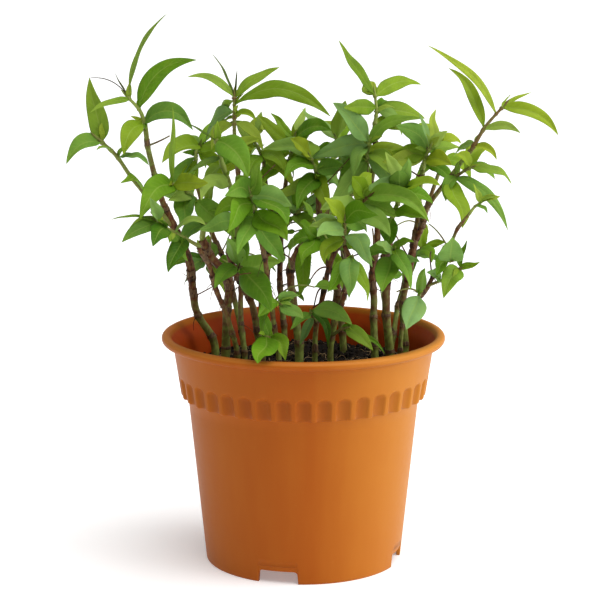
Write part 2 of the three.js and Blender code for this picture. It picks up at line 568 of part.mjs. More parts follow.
/** The pot's turned wall: foot, tapering side, fluted band, collar, rolled rim and floor plate. */
function potWall() {
  const lip = POT_HEIGHT - RIM_ROLL;
  const taper = (z) => FOOT_RADIUS + ((STEP_RADIUS - FOOT_RADIUS) * z) / STEP_Z;
  const collar = (z) =>
    BAND_RADIUS + ((COLLAR_RADIUS - BAND_RADIUS) * (z - STEP_Z)) / (lip - STEP_Z);
  const profile = [
    [0, BASE_Z],
    [taper(BASE_Z) - WALL, BASE_Z],
    [FOOT_RADIUS - WALL, 0],
    [FOOT_RADIUS, 0],
    [STEP_RADIUS, STEP_Z],
    [BAND_RADIUS, STEP_Z],
    [collar(BAND_TOP_Z), BAND_TOP_Z],
    [collar(lip - 1), lip - 1],
    [RIM_RADIUS - 2.4, lip],
    [RIM_RADIUS, lip + 2],
    [RIM_RADIUS - 0.8, lip + 4.2],
    [RIM_RADIUS - 2.6, POT_HEIGHT],
    [RIM_RADIUS - 5, lip + 3.8],
    [collar(lip) - WALL, lip - 2.5],
    [collar(BAND_TOP_Z) - WALL - 0.4, BAND_TOP_Z],
    [BAND_RADIUS - WALL - 0.4, STEP_Z + 1.5],
    [STEP_RADIUS - WALL, STEP_Z - 2.5],
    [taper(BASE_Z) - WALL, BASE_Z + WALL],
    [0, BASE_Z + WALL],
  ].map(([r, z]) => new THREE.Vector2(r, z));
  const turned = new THREE.LatheGeometry(profile, POT_SEGMENTS);
  turned.rotateX(Math.PI / 2);
  const body = solid(turned);
  if (body.volume() < 0) throw new Error("the pot's profile runs the wrong way");
  return body;
}

/** One upright flute: a flattened capsule lying in the band's wall and open below it. */
function fluteCutter(index) {
  const lean = Math.atan2(COLLAR_RADIUS - BAND_RADIUS, POT_HEIGHT - RIM_ROLL - STEP_Z);
  const length = BAND_TOP_Z - STEP_Z;
  const g = new THREE.CapsuleGeometry(FLUTE_WIDTH / 2, length, 2, 6);
  g.rotateX(Math.PI / 2);
  g.scale(FLUTE_DEPTH / (FLUTE_WIDTH / 2), 1, 1);
  g.translate(0, 0, -length / 2 - FLUTE_WIDTH / 2);
  g.rotateY(lean);
  const top = BAND_RADIUS + (COLLAR_RADIUS - BAND_RADIUS) * (length / (POT_HEIGHT - RIM_ROLL - STEP_Z));
  g.translate(top, 0, BAND_TOP_Z);
  g.rotateZ((2 * Math.PI * index) / FLUTES - Math.PI / 2);
  return solid(g);
}

/** One notch through the foot, arched at its top corners. */
function notchCutter(index) {
  const half = NOTCH_WIDTH / 2;
  const round = 3;
  const outline = new THREE.Shape();
  outline.moveTo(-half, -2);
  outline.lineTo(half, -2);
  outline.lineTo(half, NOTCH_HEIGHT - round);
  outline.quadraticCurveTo(half, NOTCH_HEIGHT, half - round, NOTCH_HEIGHT);
  outline.lineTo(round - half, NOTCH_HEIGHT);
  outline.quadraticCurveTo(-half, NOTCH_HEIGHT, -half, NOTCH_HEIGHT - round);
  outline.closePath();
  const g = new THREE.ExtrudeGeometry(outline, { depth: 12, bevelEnabled: false, curveSegments: 3 });
  g.rotateX(Math.PI / 2);
  g.translate(0, -FOOT_RADIUS + 8, 0);
  g.rotateZ(THREE.MathUtils.degToRad((360 * index) / FOOT_NOTCHES - NOTCH_TURN));
  return solid(g);
}

/** The soil's surface height at a point. */
function soilHeight(x, y) {
  return SOIL_Z + SOIL_RELIEF * Math.sin(x / 9 + 1.2) * Math.cos(y / 8 - 0.5) - 0.0004 * (x * x + y * y);
}

/** The body of soil, lumpy on top, a gap inside the pot's wall. */
function soilBody() {
  const wallRadius = (z) => {
    if (z < STEP_Z - 2.5) return FOOT_RADIUS + ((STEP_RADIUS - FOOT_RADIUS) * z) / STEP_Z - WALL;
    return BAND_RADIUS - WALL - 0.4;
  };
  const floor = BASE_Z + WALL + GAP;
  const rings = [
    [wallRadius(floor) - 2 * GAP, floor],
    [wallRadius(STEP_Z - 4) - 2 * GAP, STEP_Z - 4],
  ];
  const sectors = SOIL_SECTORS;
  const spread = [0.98, 0.64, 0.3];
  const outer = BAND_RADIUS - WALL - 0.4;
  const points = [new THREE.Vector3(0, 0, floor)];
  const at = (r, k) => [r * Math.cos((2 * Math.PI * k) / sectors), r * Math.sin((2 * Math.PI * k) / sectors)];
  for (const [r, z] of rings) {
    for (let k = 0; k < sectors; k++) points.push(new THREE.Vector3(...at(r, k), z));
  }
  for (const part of spread) {
    for (let k = 0; k < sectors; k++) {
      const [x, y] = at(outer * part, k);
      points.push(new THREE.Vector3(x, y, soilHeight(x, y)));
    }
  }
  points.push(new THREE.Vector3(0, 0, soilHeight(0, 0)));
  const triangles = [];
  const loops = rings.length + spread.length;
  const last = points.length - 1;
  for (let k = 0; k < sectors; k++) {
    const b = (k + 1) % sectors;
    triangles.push([0, 1 + b, 1 + k]);
    for (let i = 0; i < loops - 1; i++) {
      const p = 1 + i * sectors;
      triangles.push([p + k, p + b, p + sectors + b], [p + k, p + sectors + b, p + sectors + k]);
    }
    const top = 1 + (loops - 1) * sectors;
    triangles.push([last, top + k, top + b]);
  }
  return solid(facets(points, triangles));
}

/** A colour between two, by part from 0 to 1. */
function blend(from, to, part) {
  return new THREE.Color(from).lerp(new THREE.Color(to), part);
}

// Pot.
let pot = potWall();
for (let i = 0; i < FLUTES; i++) pot = pot.subtract(fluteCutter(i));
for (let i = 0; i < FOOT_NOTCHES; i++) pot = pot.subtract(notchCutter(i));


// Stems, each planted in its own socket in the soil.
const stems = new Map();
let soil = soilBody();
for (const [name, parent, r0, r1, points] of CANES) {
  const curve = curveThrough(points);
  const steps = points.length - 1;
  let body = rod(curve, r0, r1, steps, STEM_SIDES);
  if (parent) body = largest(body.subtract(stems.get(parent).grown));
  const grown = rod(curve, r0, r1, steps, STEM_SIDES, GAP);
  stems.set(name, { curve, body, grown, tone: stems.size / CANES.length });
  if (!parent) soil = soil.subtract(grown);
}

// Sprigs: the green side shoots, then their leaves, each turned until it is clear of the others.
const sprigs = new Map();
for (const [name, parent, r0, r1, points] of SPRIGS) {
  const curve = curveThrough(points);
  const stalk = rod(curve, r0, r1, points.length - 1, SPRIG_SIDES);
  sprigs.set(name, { curve, body: largest(stalk.subtract(stems.get(parent).grown)) });
}
const fixed = [pot, soil, ...[...stems.values()].map((stem) => stem.body)];
for (const [name, , , , , leaves] of SPRIGS) {
  const sprig = sprigs.get(name);
  const others = [...fixed, ...[...sprigs].filter(([key]) => key !== name).map(([, other]) => other.body)];
  for (const [t, tip, width, arch, roll] of leaves) {
    const base = sprig.curve.getPoint(Math.min(t, LAST_LEAF_AT));
    const reach = new THREE.Vector3(...tip).sub(base);
    for (const turn of LEAF_TURNS) {
      const end = base.clone().add(reach.clone().applyAxisAngle(UP, THREE.MathUtils.degToRad(turn)));
      const blade = leaf(base, end, width, arch, roll);
      const joined = sprig.body.add(blade);
      if (isClear(blade, others) && joined.decompose().length === 1) {
        sprig.body = joined;
        break;
      }
    }
  }
}

// All of it goes in one group, moved sideways so that the origin is under the middle of the whole.
const pieces = [
  ["pot", pot, new THREE.Color(0xc8742b), 0.42],
  ["soil", soil, new THREE.Color(0x2a1d14), 0.95],
];
for (const [name, stem] of stems) {
  pieces.push([name, stem.body, blend(0x6b4a2a, 0x6e7a3a, stem.tone), 0.6]);
}
[...sprigs].forEach(([name, sprig], i) => {
  pieces.push([name, sprig.body, blend(0x4f8228, 0x86a63a, ((i * 7) % 11) / 10), 0.5]);
});
const low = [0, 1].map((i) => Math.min(...pieces.map(([, body]) => body.boundingBox().min[i])));
const high = [0, 1].map((i) => Math.max(...pieces.map(([, body]) => body.boundingBox().max[i])));
const plant = new THREE.Group();
plant.name = "potted_vietnamese_coriander";
for (const [name, body, colour, roughness] of pieces) {
  const count = body.decompose().length;
  if (count !== 1) throw new Error(`${name} falls into ${count} pieces`);
  const geometry = geometryOf(body.translate(-(low[0] + high[0]) / 2, -(low[1] + high[1]) / 2, 0));
  const mesh = new THREE.Mesh(geometry, new THREE.MeshStandardMaterial({ color: colour, roughness, metalness: 0 }));
  mesh.name = name;
  plant.add(mesh);
}

export default plant;
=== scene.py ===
"""Vietnamese coriander in a moulded nursery pot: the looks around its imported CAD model."""

from __future__ import annotations

import logging
import math
from dataclasses import dataclass, field
from enum import Enum
from typing import Any

import bpy
import numpy as np
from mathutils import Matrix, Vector, noise

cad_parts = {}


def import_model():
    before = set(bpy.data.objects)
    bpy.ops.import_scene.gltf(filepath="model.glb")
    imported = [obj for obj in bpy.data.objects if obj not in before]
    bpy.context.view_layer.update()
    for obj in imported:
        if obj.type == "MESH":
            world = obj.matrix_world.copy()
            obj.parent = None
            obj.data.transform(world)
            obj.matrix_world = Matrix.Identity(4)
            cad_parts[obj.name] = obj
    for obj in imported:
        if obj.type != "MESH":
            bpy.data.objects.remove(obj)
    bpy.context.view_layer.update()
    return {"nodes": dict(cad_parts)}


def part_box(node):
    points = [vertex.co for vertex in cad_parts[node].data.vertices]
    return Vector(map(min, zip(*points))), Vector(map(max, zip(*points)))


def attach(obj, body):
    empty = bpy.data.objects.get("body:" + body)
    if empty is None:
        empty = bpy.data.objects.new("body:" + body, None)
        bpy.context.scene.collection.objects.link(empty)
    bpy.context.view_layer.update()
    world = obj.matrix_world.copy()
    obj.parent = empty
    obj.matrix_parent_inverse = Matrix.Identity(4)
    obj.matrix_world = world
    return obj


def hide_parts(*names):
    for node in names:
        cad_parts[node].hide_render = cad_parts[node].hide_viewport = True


log = logging.getLogger("coriander")
Chance = np.random.Generator
Point = tuple[float, float, float]
Tone = tuple[float, float, float]

MM = 0.001
BODY = "root"
SEEDS = 1_000_000  # a young leaf's own seed is drawn below this
LEAF_TURNS = (0, 8, -8, 16, -16, 25, -25, 35, -35, 48, -48, 65, -65)  # degrees about +Z
LAST_LEAF_AT = 0.94  # the end leaves start this far along the sprig
TIP_MATCH = 0.15  # mm between a leaf's tip and the CAD vertex that is the same tip

# Leaves that stand out: freshness from mature to new, bloom, which is the waxy blue-grey, and dryness.
TONES: dict[str, dict[int, Tone]] = {
    "sprig_01": {0: (0.72, 0.3, 0.12), 1: (0.42, 0.0, 0.0), 2: (0.0, 0.0, 1.0), 3: (0.65, 0.1, 0.12),
        4: (0.3, 0.0, 0.8), 5: (0.3, 0.2, 0.0)},
    "sprig_02": {0: (0.5, 0.25, 0.0), 1: (0.66, 0.1, 0.14)},
    "sprig_03": {0: (0.75, 0.0, 0.0), 1: (0.9, 0.0, 0.0), 2: (0.5, 0.0, 0.0)},
    "sprig_04": {0: (0.35, 0.1, 0.15), 1: (0.5, 0.0, 0.25), 3: (0.05, 0.0, 0.0), 4: (0.05, 0.0, 0.0)},
    "sprig_05": {0: (0.75, 0.2, 0.1), 1: (0.5, 0.2, 0.6), 2: (0.3, 0.0, 0.7), 3: (0.65, 0.0, 0.1),
        4: (0.6, 0.0, 0.1)},
    "sprig_06": {0: (0.3, 0.0, 0.5), 1: (0.45, 0.1, 0.0), 2: (0.3, 0.1, 0.4)},
    "sprig_07": {0: (0.7, 0.0, 0.1), 2: (0.2, 0.0, 0.0)},
    "sprig_09": {0: (0.5, 0.75, 0.0), 1: (0.55, 0.8, 0.0)},
    "sprig_10": {0: (0.6, 0.0, 0.15), 1: (0.7, 0.0, 0.0), 2: (0.6, 0.0, 0.1), 3: (0.65, 0.0, 0.1),
        4: (0.75, 0.1, 0.05)},
    "sprig_11": {0: (0.95, 0.05, 0.0), 1: (0.75, 0.0, 0.1), 2: (0.85, 0.0, 0.0)},
    "sprig_12": {1: (0.5, 0.3, 0.0)},
    "sprig_14": {0: (0.45, 0.5, 0.0)},
    "sprig_15": {0: (0.6, 0.1, 0.0)},
    "sprig_16": {0: (0.5, 0.9, 0.0)},
    "sprig_17": {0: (0.6, 0.8, 0.0), 2: (0.4, 0.3, 0.0), 4: (1.0, 0.0, 0.0)},
    "sprig_19": {0: (0.55, 0.15, 0.0)},
    "sprig_22": {2: (0.0, 0.1, 0.0)},
    "sprig_25": {0: (0.3, 0.05, 0.0)},
    "sprig_26": {2: (0.5, 0.5, 0.0)},
    "sprig_29": {0: (0.55, 0.3, 0.0)},
    "sprig_32": {0: (0.65, 0.15, 0.0)},
    "sprig_34": {0: (0.45, 0.8, 0.0)},
}
# Sprigs with browner stalks: how much is added to the bark mark.
RUDDY: dict[str, float] = {"sprig_11": 0.4, "sprig_05": 0.3, "sprig_12": 0.2, "sprig_19": 0.35,
                           "sprig_30": 0.2, "sprig_02": 0.12}

# Stems: name, radius at foot and top, points along it, in mm about the pot's axis.
STEMS: list[tuple[str, float, float, list[Point]]] = [
    ("stem_01", 2.4, 1.4, [(-52, 26, 100), (-52, 26, 118), (-62, 21, 142), (-64, 14, 167), (-74, 8, 193),
     (-82, 0, 216), (-87, -8, 247)]),
    ("stem_02", 2.6, 2, [(-45, -4, 100), (-44, -3, 124), (-42, -6, 150), (-43, -10, 165), (-51, -10, 176),
     (-56, -14, 186)]),
    ("stem_03", 2.2, 1.6, [(-23, -12, 100), (-25, -14, 130), (-28, -18, 148), (-32, -21, 159),
     (-38, -26, 172), (-41, -30, 182)]),
    ("stem_04", 1.6, 1.1, [(-33, 8, 100), (-34, 10, 121), (-36, 16, 146), (-35, 22, 167), (-36, 27, 193),
     (-38, 27, 219), (-39, 22, 243)]),
    ("stem_05", 2.6, 1.3, [(-3, -8, 100), (-3, -8, 125), (-5, -5, 147), (-8, -1, 166), (-2, 4, 177),
     (8, 5, 188), (15, 6, 199), (24, 8, 205), (32, 11, 214), (36, 14, 224)]),
    ("stem_06", 2.1, 1.4, [(24, 30, 100), (23, 30, 117), (21, 32, 140), (19, 31, 153), (13, 28, 168),
     (11, 28, 182), (9, 30, 196), (9, 32, 210)]),
    ("stem_07", 2.2, 1.4, [(41, 4, 100), (40, 4, 122), (40, 6, 146), (39, 7, 159), (41, 10, 173),
     (42, 14, 190), (39, 16, 209), (40, 16, 227), (40, 16, 245)]),
    ("stem_08", 2.6, 1.8, [(48, -16, 100), (48, -16, 124), (46, -22, 151), (45, -26, 164), (45, -29, 176),
     (47, -31, 189), (48, -34, 200)]),
    ("stem_09", 2.2, 1.4, [(57, 16, 100), (58, 17, 119), (57, 17, 143), (58, 16, 153), (61, 12, 169),
     (64, 10, 188), (65, 7, 208), (67, 6, 222)]),
    ("stem_10", 1.6, 1.1, [(64, 10, 183), (68, -3, 199), (75, -13, 214), (84, -19, 227), (92, -23, 238)]),
    ("stem_11", 1.4, 0.8, [(52, -26, 100), (53, -26, 126), (56, -29, 144), (62, -32, 156), (68, -36, 164),
     (74, -40, 176), (78, -43, 185), (83, -47, 197), (89, -48, 206)]),
    ("stem_12", 1.8, 1.2, [(15, -34, 100), (15, -34, 128), (18, -41, 149), (23, -48, 164), (25, -51, 179),
     (22, -50, 189)]),
    ("stem_13", 1.7, 1.1, [(-23, 40, 100), (-24, 41, 117), (-24, 44, 140), (-21, 47, 162), (-18, 48, 184),
     (-21, 50, 204), (-23, 50, 221)]),
    ("stem_14", 1.8, 1.2, [(-11, 44, 100), (-11, 45, 113), (-13, 50, 139), (-14, 54, 161), (-13, 57, 183),
     (-11, 58, 203), (-9, 56, 216)]),
    ("stem_15", 1.6, 1.1, [(7, -22, 100), (6, -22, 125), (9, -24, 148), (12, -27, 166), (17, -27, 180),
     (23, -27, 191), (26, -28, 200)]),
    ("stem_16", 1.7, 1.1, [(16, 56, 100), (17, 57, 114), (19, 60, 137), (23, 59, 160), (25, 60, 182),
     (24, 58, 203), (22, 56, 220)]),
    ("stem_17", 1.6, 1.1, [(49, 32, 100), (51, 34, 116), (56, 44, 140), (62, 52, 162), (68, 57, 180),
     (75, 59, 200), (80, 58, 216)]),
    ("stem_18", 1.6, 1.1, [(-37, -32, 100), (-37, -32, 128), (-41, -40, 146), (-46, -47, 160),
     (-50, -55, 177), (-56, -62, 190)]),
    ("stem_19", 1.8, 1.1, [(-34, 46, 100), (-36, 48, 116), (-40, 54, 138), (-46, 61, 160), (-56, 65, 181),
     (-61, 64, 202), (-63, 62, 217)]),
    ("stem_20", 1.7, 1.1, [(-15, -40, 100), (-14, -40, 129), (-17, -48, 153), (-19, -54, 171),
     (-22, -59, 187), (-25, -62, 202)]),
]
# Sprigs: name, radius at foot and top, points along it, then its leaves: part of the way, tip, width,
# arch and roll.
SPRIGS: list[tuple[str, float, float, list[Point], list[tuple[float, Point, float, float, float]]]] = [
    ("sprig_01", 1.3, 0.8, [(-87, -8, 248), (-90, -8, 257), (-97, -8, 265)], [
        (1, (-74, -18, 311), 4.2, 5.5, 55), (0.55, (-57, -22, 285), 10, 9, 75),
        (0.95, (-117, -18, 276), 1.3, 4, 0), (0.9, (-115, -35, 259), 4.6, 2, 50),
        (1, (-104, -1, 277), 1.4, 0, 0), (0.12, (-60, -28, 248), 13, 9, 50),
        (0.05, (-98, -25, 235), 11, 6, 60)]),
    ("sprig_02", 1.5, 0.9, [(-75, 8, 191), (-84, -2, 205), (-95, -9, 220), (-103, -14, 233),
     (-113, -17, 243)], [
        (1, (-129, -27, 230), 9.5, 5, 55), (1, (-118, -7, 275), 11, 0, 70),
        (0.82, (-112, -34, 238), 3, 2, 30), (0.72, (-84, -30, 229), 5.5, 4, 50),
        (0.35, (-99, -37, 221), 7, 5, 40)]),
    ("sprig_03", 1.7, 1, [(-56, -14, 187), (-55, -24, 198), (-59, -34, 211), (-65, -42, 218),
     (-72, -46, 222)], [
        (1, (-69, -57, 264), 3.2, -1, 40), (1, (-50, -74, 227), 9.8, 0.5, 60),
        (0.9, (-86, -74, 207), 14, 7, 65), (0.6, (-65, -67, 200), 11.5, 2, 55),
        (0.45, (-72, -60, 213), 10.3, 5, 40), (0.3, (-42, -43, 206), 9.2, 0.5, 40),
        (0.5, (-79, -20, 211), 10.3, 4, 45), (0.52, (-38, -42, 191), 13, 2.5, 60),
        (0.2, (-66, -50, 186), 10, 5, 50), (0.75, (-58, -40, 228), 9, 0.5, 50)]),
    ("sprig_04", 1.1, 0.8, [(-56, -62, 191), (-64, -64, 196), (-72, -67, 201), (-78, -67, 205)], [
        (1, (-95, -81, 196), 8, 2, 50), (0.95, (-101, -77, 207), 3.5, 3, 30),
        (0.9, (-81, -74, 218), 7, 0.5, 50), (0.7, (-78, -94, 196), 11, 3, 55),
        (0.3, (-71, -84, 181), 10, 1.5, 50), (0.5, (-51, -81, 205), 8, 5, 45),
        (0.6, (-61, -69, 184), 8, 0.5, 50), (0.8, (-93, -63, 199), 7, 3, 50)]),
    ("sprig_05", 1.1, 0.7, [(-39, 22, 244), (-39, 22, 253), (-39, 22, 262)], [
        (1, (-65, 12, 273), 6.5, 5, 45), (1, (-52, 31, 285), 2, 2, 20), (1, (-37, 25, 277), 1.5, 0, 0),
        (0.9, (-13, 38, 276), 6.5, 3, 45), (0.72, (15, -2, 253), 11.5, 12, 50),
        (0.85, (-50, 45, 239), 6.5, 5, 50), (0.4, (-26, 8, 250), 4.5, 3, 40), (0.3, (-48, 38, 241), 6, 3, 30),
        (0.5, (-57, 52, 233), 10.3, 5, 45), (0.15, (-24, 28, 229), 8, 4, 50),
        (0.1, (-52, 26, 231), 8, 4, 50)]),
    ("sprig_06", 1.6, 0.9, [(-41, -30, 183), (-36, -38, 197), (-38, -42, 215), (-44, -45, 234),
     (-47, -45, 248)], [
        (1, (-62, -55, 256), 3.5, 0.5, 30), (1, (-29, -79, 229), 15, 6, 60),
        (0.78, (-61, -65, 230), 4.5, 1.5, 40), (0.62, (-58, -72, 219), 11.5, 5, 55),
        (0.85, (-22, -55, 246), 10.3, 0.5, 45), (0.45, (-15, -79, 217), 12.6, 5, 50),
        (0.3, (-55, -69, 198), 10.3, 2, 50), (0.7, (-29, -23, 237), 10.3, 5, 45),
        (0.55, (-33, -39, 203), 11, 0.5, 55), (0.25, (-21, -43, 200), 12, 4.5, 55),
        (0.15, (-31, -45, 179), 10, 2, 55), (0.72, (-63, -41, 204), 10, 5, 55),
        (0.95, (-35, -37, 239), 8, 0.5, 50)]),
    ("sprig_07", 1.2, 0.8, [(-9, 56, 218), (-7, 51, 226), (-5, 46, 236)], [
        (0.75, (-26, 36, 250), 9.8, -1, 50), (1, (-19, 55, 249), 5.5, 0, 50),
        (0.9, (16, 32, 241), 12.6, 5, 45), (0.5, (-24, 66, 213), 9.2, 2, 45),
        (0.3, (7, 29, 218), 10.3, 5, 45), (1, (1, 66, 252), 5, 0, 40), (0.6, (-2, 80, 224), 10.3, 4, 45),
        (0.2, (-31, 44, 204), 11, 2, 55), (0.1, (15, 48, 221), 10, 5, 55), (0.6, (8, 52, 246), 8, 0.5, 50)]),
    ("sprig_08", 1.1, 0.8, [(-23, 50, 222), (-26, 48, 229), (-30, 45, 236)], [
        (1, (-39, 38, 247), 9.2, 0.5, 50), (1, (-17, 54, 240), 9.2, 5, 50),
        (0.6, (-47, 42, 228), 10.3, 0.5, 40), (0.4, (-8, 58, 203), 10.3, 4.5, 45),
        (0.2, (-37, 28, 211), 10.3, 2, 50), (0.5, (-32, 79, 218), 10.3, 5, 45),
        (0.8, (-47, 45, 213), 11, 0.5, 55), (0.3, (-11, 43, 216), 11, 4, 55),
        (0.1, (-23, 43, 196), 11, 2, 55), (0.9, (-24, 51, 250), 7, 1, 50)]),
    ("sprig_09", 1.3, 0.9, [(36, 14, 225), (36, 12, 232), (37, 6, 238)], [
        (1, (16, -7, 261), 12.6, 1.5, 60), (1, (8, 36, 225), 12.6, 2, 60), (0.9, (65, -4, 254), 10.3, 5, 50),
        (0.8, (21, 26, 259), 10.3, 0, 40), (0.4, (51, -10, 219), 10.3, 4, 50),
        (0.3, (20, 33, 208), 10.3, 2, 50), (0.5, (28, 36, 242), 10.3, 5, 45),
        (0.6, (63, 6, 232), 11, 0.5, 55), (0.2, (54, 4, 202), 12, 4.5, 55), (0.1, (15, 6, 196), 11, 2, 55),
        (0.7, (27, -2, 219), 9, 4, 50)]),
    ("sprig_10", 1.2, 0.7, [(40, 16, 246), (41, 16, 254), (40, 16, 264)], [
        (1, (20, 6, 295), 7, -1, 55), (0.9, (67, 36, 267), 9, 5, 65), (0.6, (22, -11, 258), 9, 1, 75),
        (0.5, (70, 46, 247), 11, 2, 75), (1, (34, 26, 269), 9, 0, 30), (0.1, (61, 29, 236), 8, 4, 45),
        (0.35, (51, 46, 250), 9, 5, 45), (0.5, (56, 20, 240), 8, 4, 50), (0.05, (26, 20, 230), 9, 4, 50)]),
    ("sprig_11", 1.2, 0.7, [(92, -23, 238), (99, -23, 250), (109, -20, 261)], [
        (0.8, (66, -30, 294), 5.2, 5.5, 55), (0.45, (80, 3, 279), 6.8, 6, 55), (1, (138, -27, 245), 8, 6, 55),
        (1, (125, -7, 268), 3, 0.5, 30), (0.4, (117, -34, 247), 5.5, 4, 45), (0.1, (84, 3, 229), 6, 3, 40),
        (0.05, (105, -30, 233), 5, 3, 40)]),
    ("sprig_12", 1, 0.7, [(78, -14, 217), (87, -22, 225), (91, -27, 228)], [
        (1, (112, -34, 218), 7, 5, 50), (0.25, (109, -54, 197), 7.5, 8, 55), (0.2, (85, -47, 196), 12, 4, 60),
        (0.9, (82, -30, 235), 7, 3, 50), (0.6, (102, -1, 234), 9, 5, 45), (0.3, (78, -27, 209), 7, 4, 50),
        (0.9, (104, -23, 220), 6, 4, 50)]),
    ("sprig_13", 0.9, 0.6, [(89, -48, 206), (92, -48, 210), (95, -48, 212)], [
        (1, (103, -51, 215), 3, 1.5, 30), (1, (91, -45, 222), 4, 0.5, 40), (0.5, (98, -55, 207), 3, 2, 30)]),
    ("sprig_14", 0.8, 0.6, [(75, -40, 177), (77, -48, 180), (79, -53, 181)], [
        (1, (79, -63, 196), 14, 0, 65), (0.6, (71, -56, 174), 7, 2, 60)]),
    ("sprig_15", 0.9, 0.6, [(69, -37, 165), (78, -42, 170), (86, -44, 176)], [
        (0.9, (75, -58, 162), 11, 3, 65), (1, (95, -51, 180), 4, 0, 50), (1, (89, -44, 191), 4, 1, 50),
        (0.3, (66, -54, 175), 6, 1, 50)]),
    ("sprig_16", 0.8, 0.6, [(57, -30, 149), (60, -40, 156), (63, -48, 162)], [
        (1, (55, -65, 146), 13, 1, 70), (1, (68, -55, 177), 6, 2, 50)]),
    ("sprig_17", 1.2, 0.8, [(67, 6, 223), (68, 1, 230), (70, -4, 236)], [
        (1, (63, -14, 256), 5, 1.5, 50), (1, (89, 16, 232), 7, 1.5, 50), (0.8, (51, -7, 248), 11.5, 4, 55),
        (0.5, (43, 5, 228), 10.3, 0.5, 50), (0.3, (81, -21, 228), 10.3, 3, 60), (1, (75, 22, 253), 6, 1, 40),
        (0.4, (61, 24, 237), 10.3, 5, 45), (0.6, (49, -2, 232), 11, 0.5, 55), (0.2, (85, -2, 211), 8, 4, 50),
        (0.9, (80, 2, 245), 7, 1, 50)]),
    ("sprig_18", 1.1, 0.7, [(80, 58, 217), (81, 56, 224), (80, 53, 231)], [
        (1, (66, 46, 243), 10.3, 0.5, 45), (1, (92, 59, 231), 7, 3, 40), (0.5, (58, 46, 228), 10.3, 2, 40),
        (0.2, (98, 62, 208), 9.2, 5, 40), (0.4, (81, 85, 234), 10.3, 0.5, 45), (0.8, (70, 55, 218), 9, 3, 50),
        (0.35, (64, 53, 209), 8, 2, 50)]),
    ("sprig_19", 1.2, 0.8, [(26, -28, 202), (30, -36, 209), (35, -40, 214)], [
        (1, (67, -61, 204), 11.5, 7.5, 55), (0.6, (9, -61, 208), 11.5, 0.5, 60),
        (0.8, (26, -51, 227), 10.3, 2, 55), (0.4, (46, -68, 198), 11.5, 2, 55),
        (0.5, (38, -16, 222), 10.3, 5, 45), (0.9, (50, -36, 225), 10, 0.5, 50),
        (0.2, (22, -40, 189), 10, 4, 55), (0.5, (52, -36, 203), 11, 2, 55)]),
    ("sprig_20", 1.2, 0.8, [(22, 56, 221), (21, 51, 229), (19, 46, 235)], [
        (1, (24, 36, 258), 10.3, 0, 40), (1, (1, 62, 239), 10.3, 5, 45), (0.7, (41, 36, 235), 10.3, 0.5, 45),
        (0.4, (1, 66, 215), 10.3, 4, 45), (0.2, (39, 39, 213), 10.3, 2, 45),
        (0.5, (29, 78, 242), 10.3, 5, 45), (0.9, (-2, 50, 250), 9, 0.5, 50), (0.6, (44, 46, 219), 11, 4, 55),
        (0.1, (5, 50, 201), 11, 2, 55), (0.3, (26, 48, 199), 10, 5, 55)]),
    ("sprig_21", 1.2, 0.8, [(9, 32, 211), (7, 27, 219), (4, 22, 227)], [
        (1, (-8, 12, 238), 10.3, 2, 50), (1, (19, 38, 234), 11.5, 2, 55), (0.7, (-11, 5, 218), 11.5, 5, 55),
        (0.4, (28, 42, 206), 11.5, 0.5, 55), (0.2, (-4, 5, 201), 11.5, 4.5, 55),
        (0.3, (11, 52, 216), 10.3, 2, 45), (0.9, (-24, 24, 230), 11, 5, 55),
        (0.5, (24, 26, 221), 11, 0.5, 55), (0.1, (-20, 22, 194), 11, 4.5, 55),
        (0.35, (13, 18, 195), 10, 2, 55)]),
    ("sprig_22", 1.4, 0.9, [(48, -34, 201), (51, -36, 210), (53, -39, 218)], [
        (1, (56, -46, 236), 9.2, 0, 50), (0.9, (73, -56, 220), 10.3, 4, 50),
        (0.8, (37, -49, 230), 11.5, 1.5, 55), (0.5, (33, -66, 204), 13.8, 5, 60),
        (0.3, (66, -59, 203), 9.2, 0.5, 50), (0.6, (52, -15, 226), 10.3, 4, 45),
        (0.9, (44, -37, 238), 10, 1.5, 50), (0.6, (70, -35, 208), 9, 5, 55),
        (0.1, (41, -39, 187), 10, 0.5, 55)]),
    ("sprig_23", 1.1, 0.8, [(45, -29, 174), (48, -38, 181), (49, -45, 186)], [
        (1, (57, -72, 170), 9, 4, 60), (0.9, (38, -65, 191), 8, 0.5, 50), (0.6, (59, -52, 192), 7, 3, 50),
        (0.5, (42, -69, 165), 14, 1, 60), (0.8, (34, -43, 179), 8, 4, 50),
        (0.3, (63, -43, 179), 8, 0.5, 50)]),
    ("sprig_24", 1.2, 0.8, [(1, 4, 181), (5, -6, 185), (8, -14, 187)], [
        (1, (31, -37, 181), 10.3, 2, 55), (0.8, (-1, -44, 175), 10.3, 4, 60),
        (1, (-2, -34, 199), 10.3, 0.5, 50), (0.5, (19, -24, 198), 10.3, 4, 50),
        (0.9, (19, -14, 172), 8, 2, 55), (0.5, (25, -18, 153), 8, 5, 55), (0.2, (-2, -16, 153), 9, 0.5, 55),
        (0.7, (-6, -8, 181), 10, 3, 50)]),
    ("sprig_25", 1.2, 0.8, [(-38, -26, 172), (-36, -36, 174), (-34, -43, 176)], [
        (1, (-6, -77, 160), 15, 3, 60), (0.8, (-30, -64, 196), 10.3, 1, 50),
        (0.6, (-47, -71, 168), 10.3, 4, 55), (0.5, (-12, -33, 176), 13, 0.5, 55),
        (0.3, (-23, -31, 156), 9, 3, 55)]),
    ("sprig_26", 1.1, 0.8, [(-25, -62, 203), (-26, -64, 212), (-28, -67, 220)], [
        (1, (-22, -74, 238), 10.3, 0, 55), (0.9, (-41, -81, 221), 11.5, 4, 55),
        (0.9, (-6, -81, 215), 13.8, 2, 60), (0.6, (-40, -87, 203), 12.6, 5, 60),
        (0.4, (-8, -91, 200), 12.6, 0.5, 60), (0.2, (-34, -94, 190), 10.3, 3, 60),
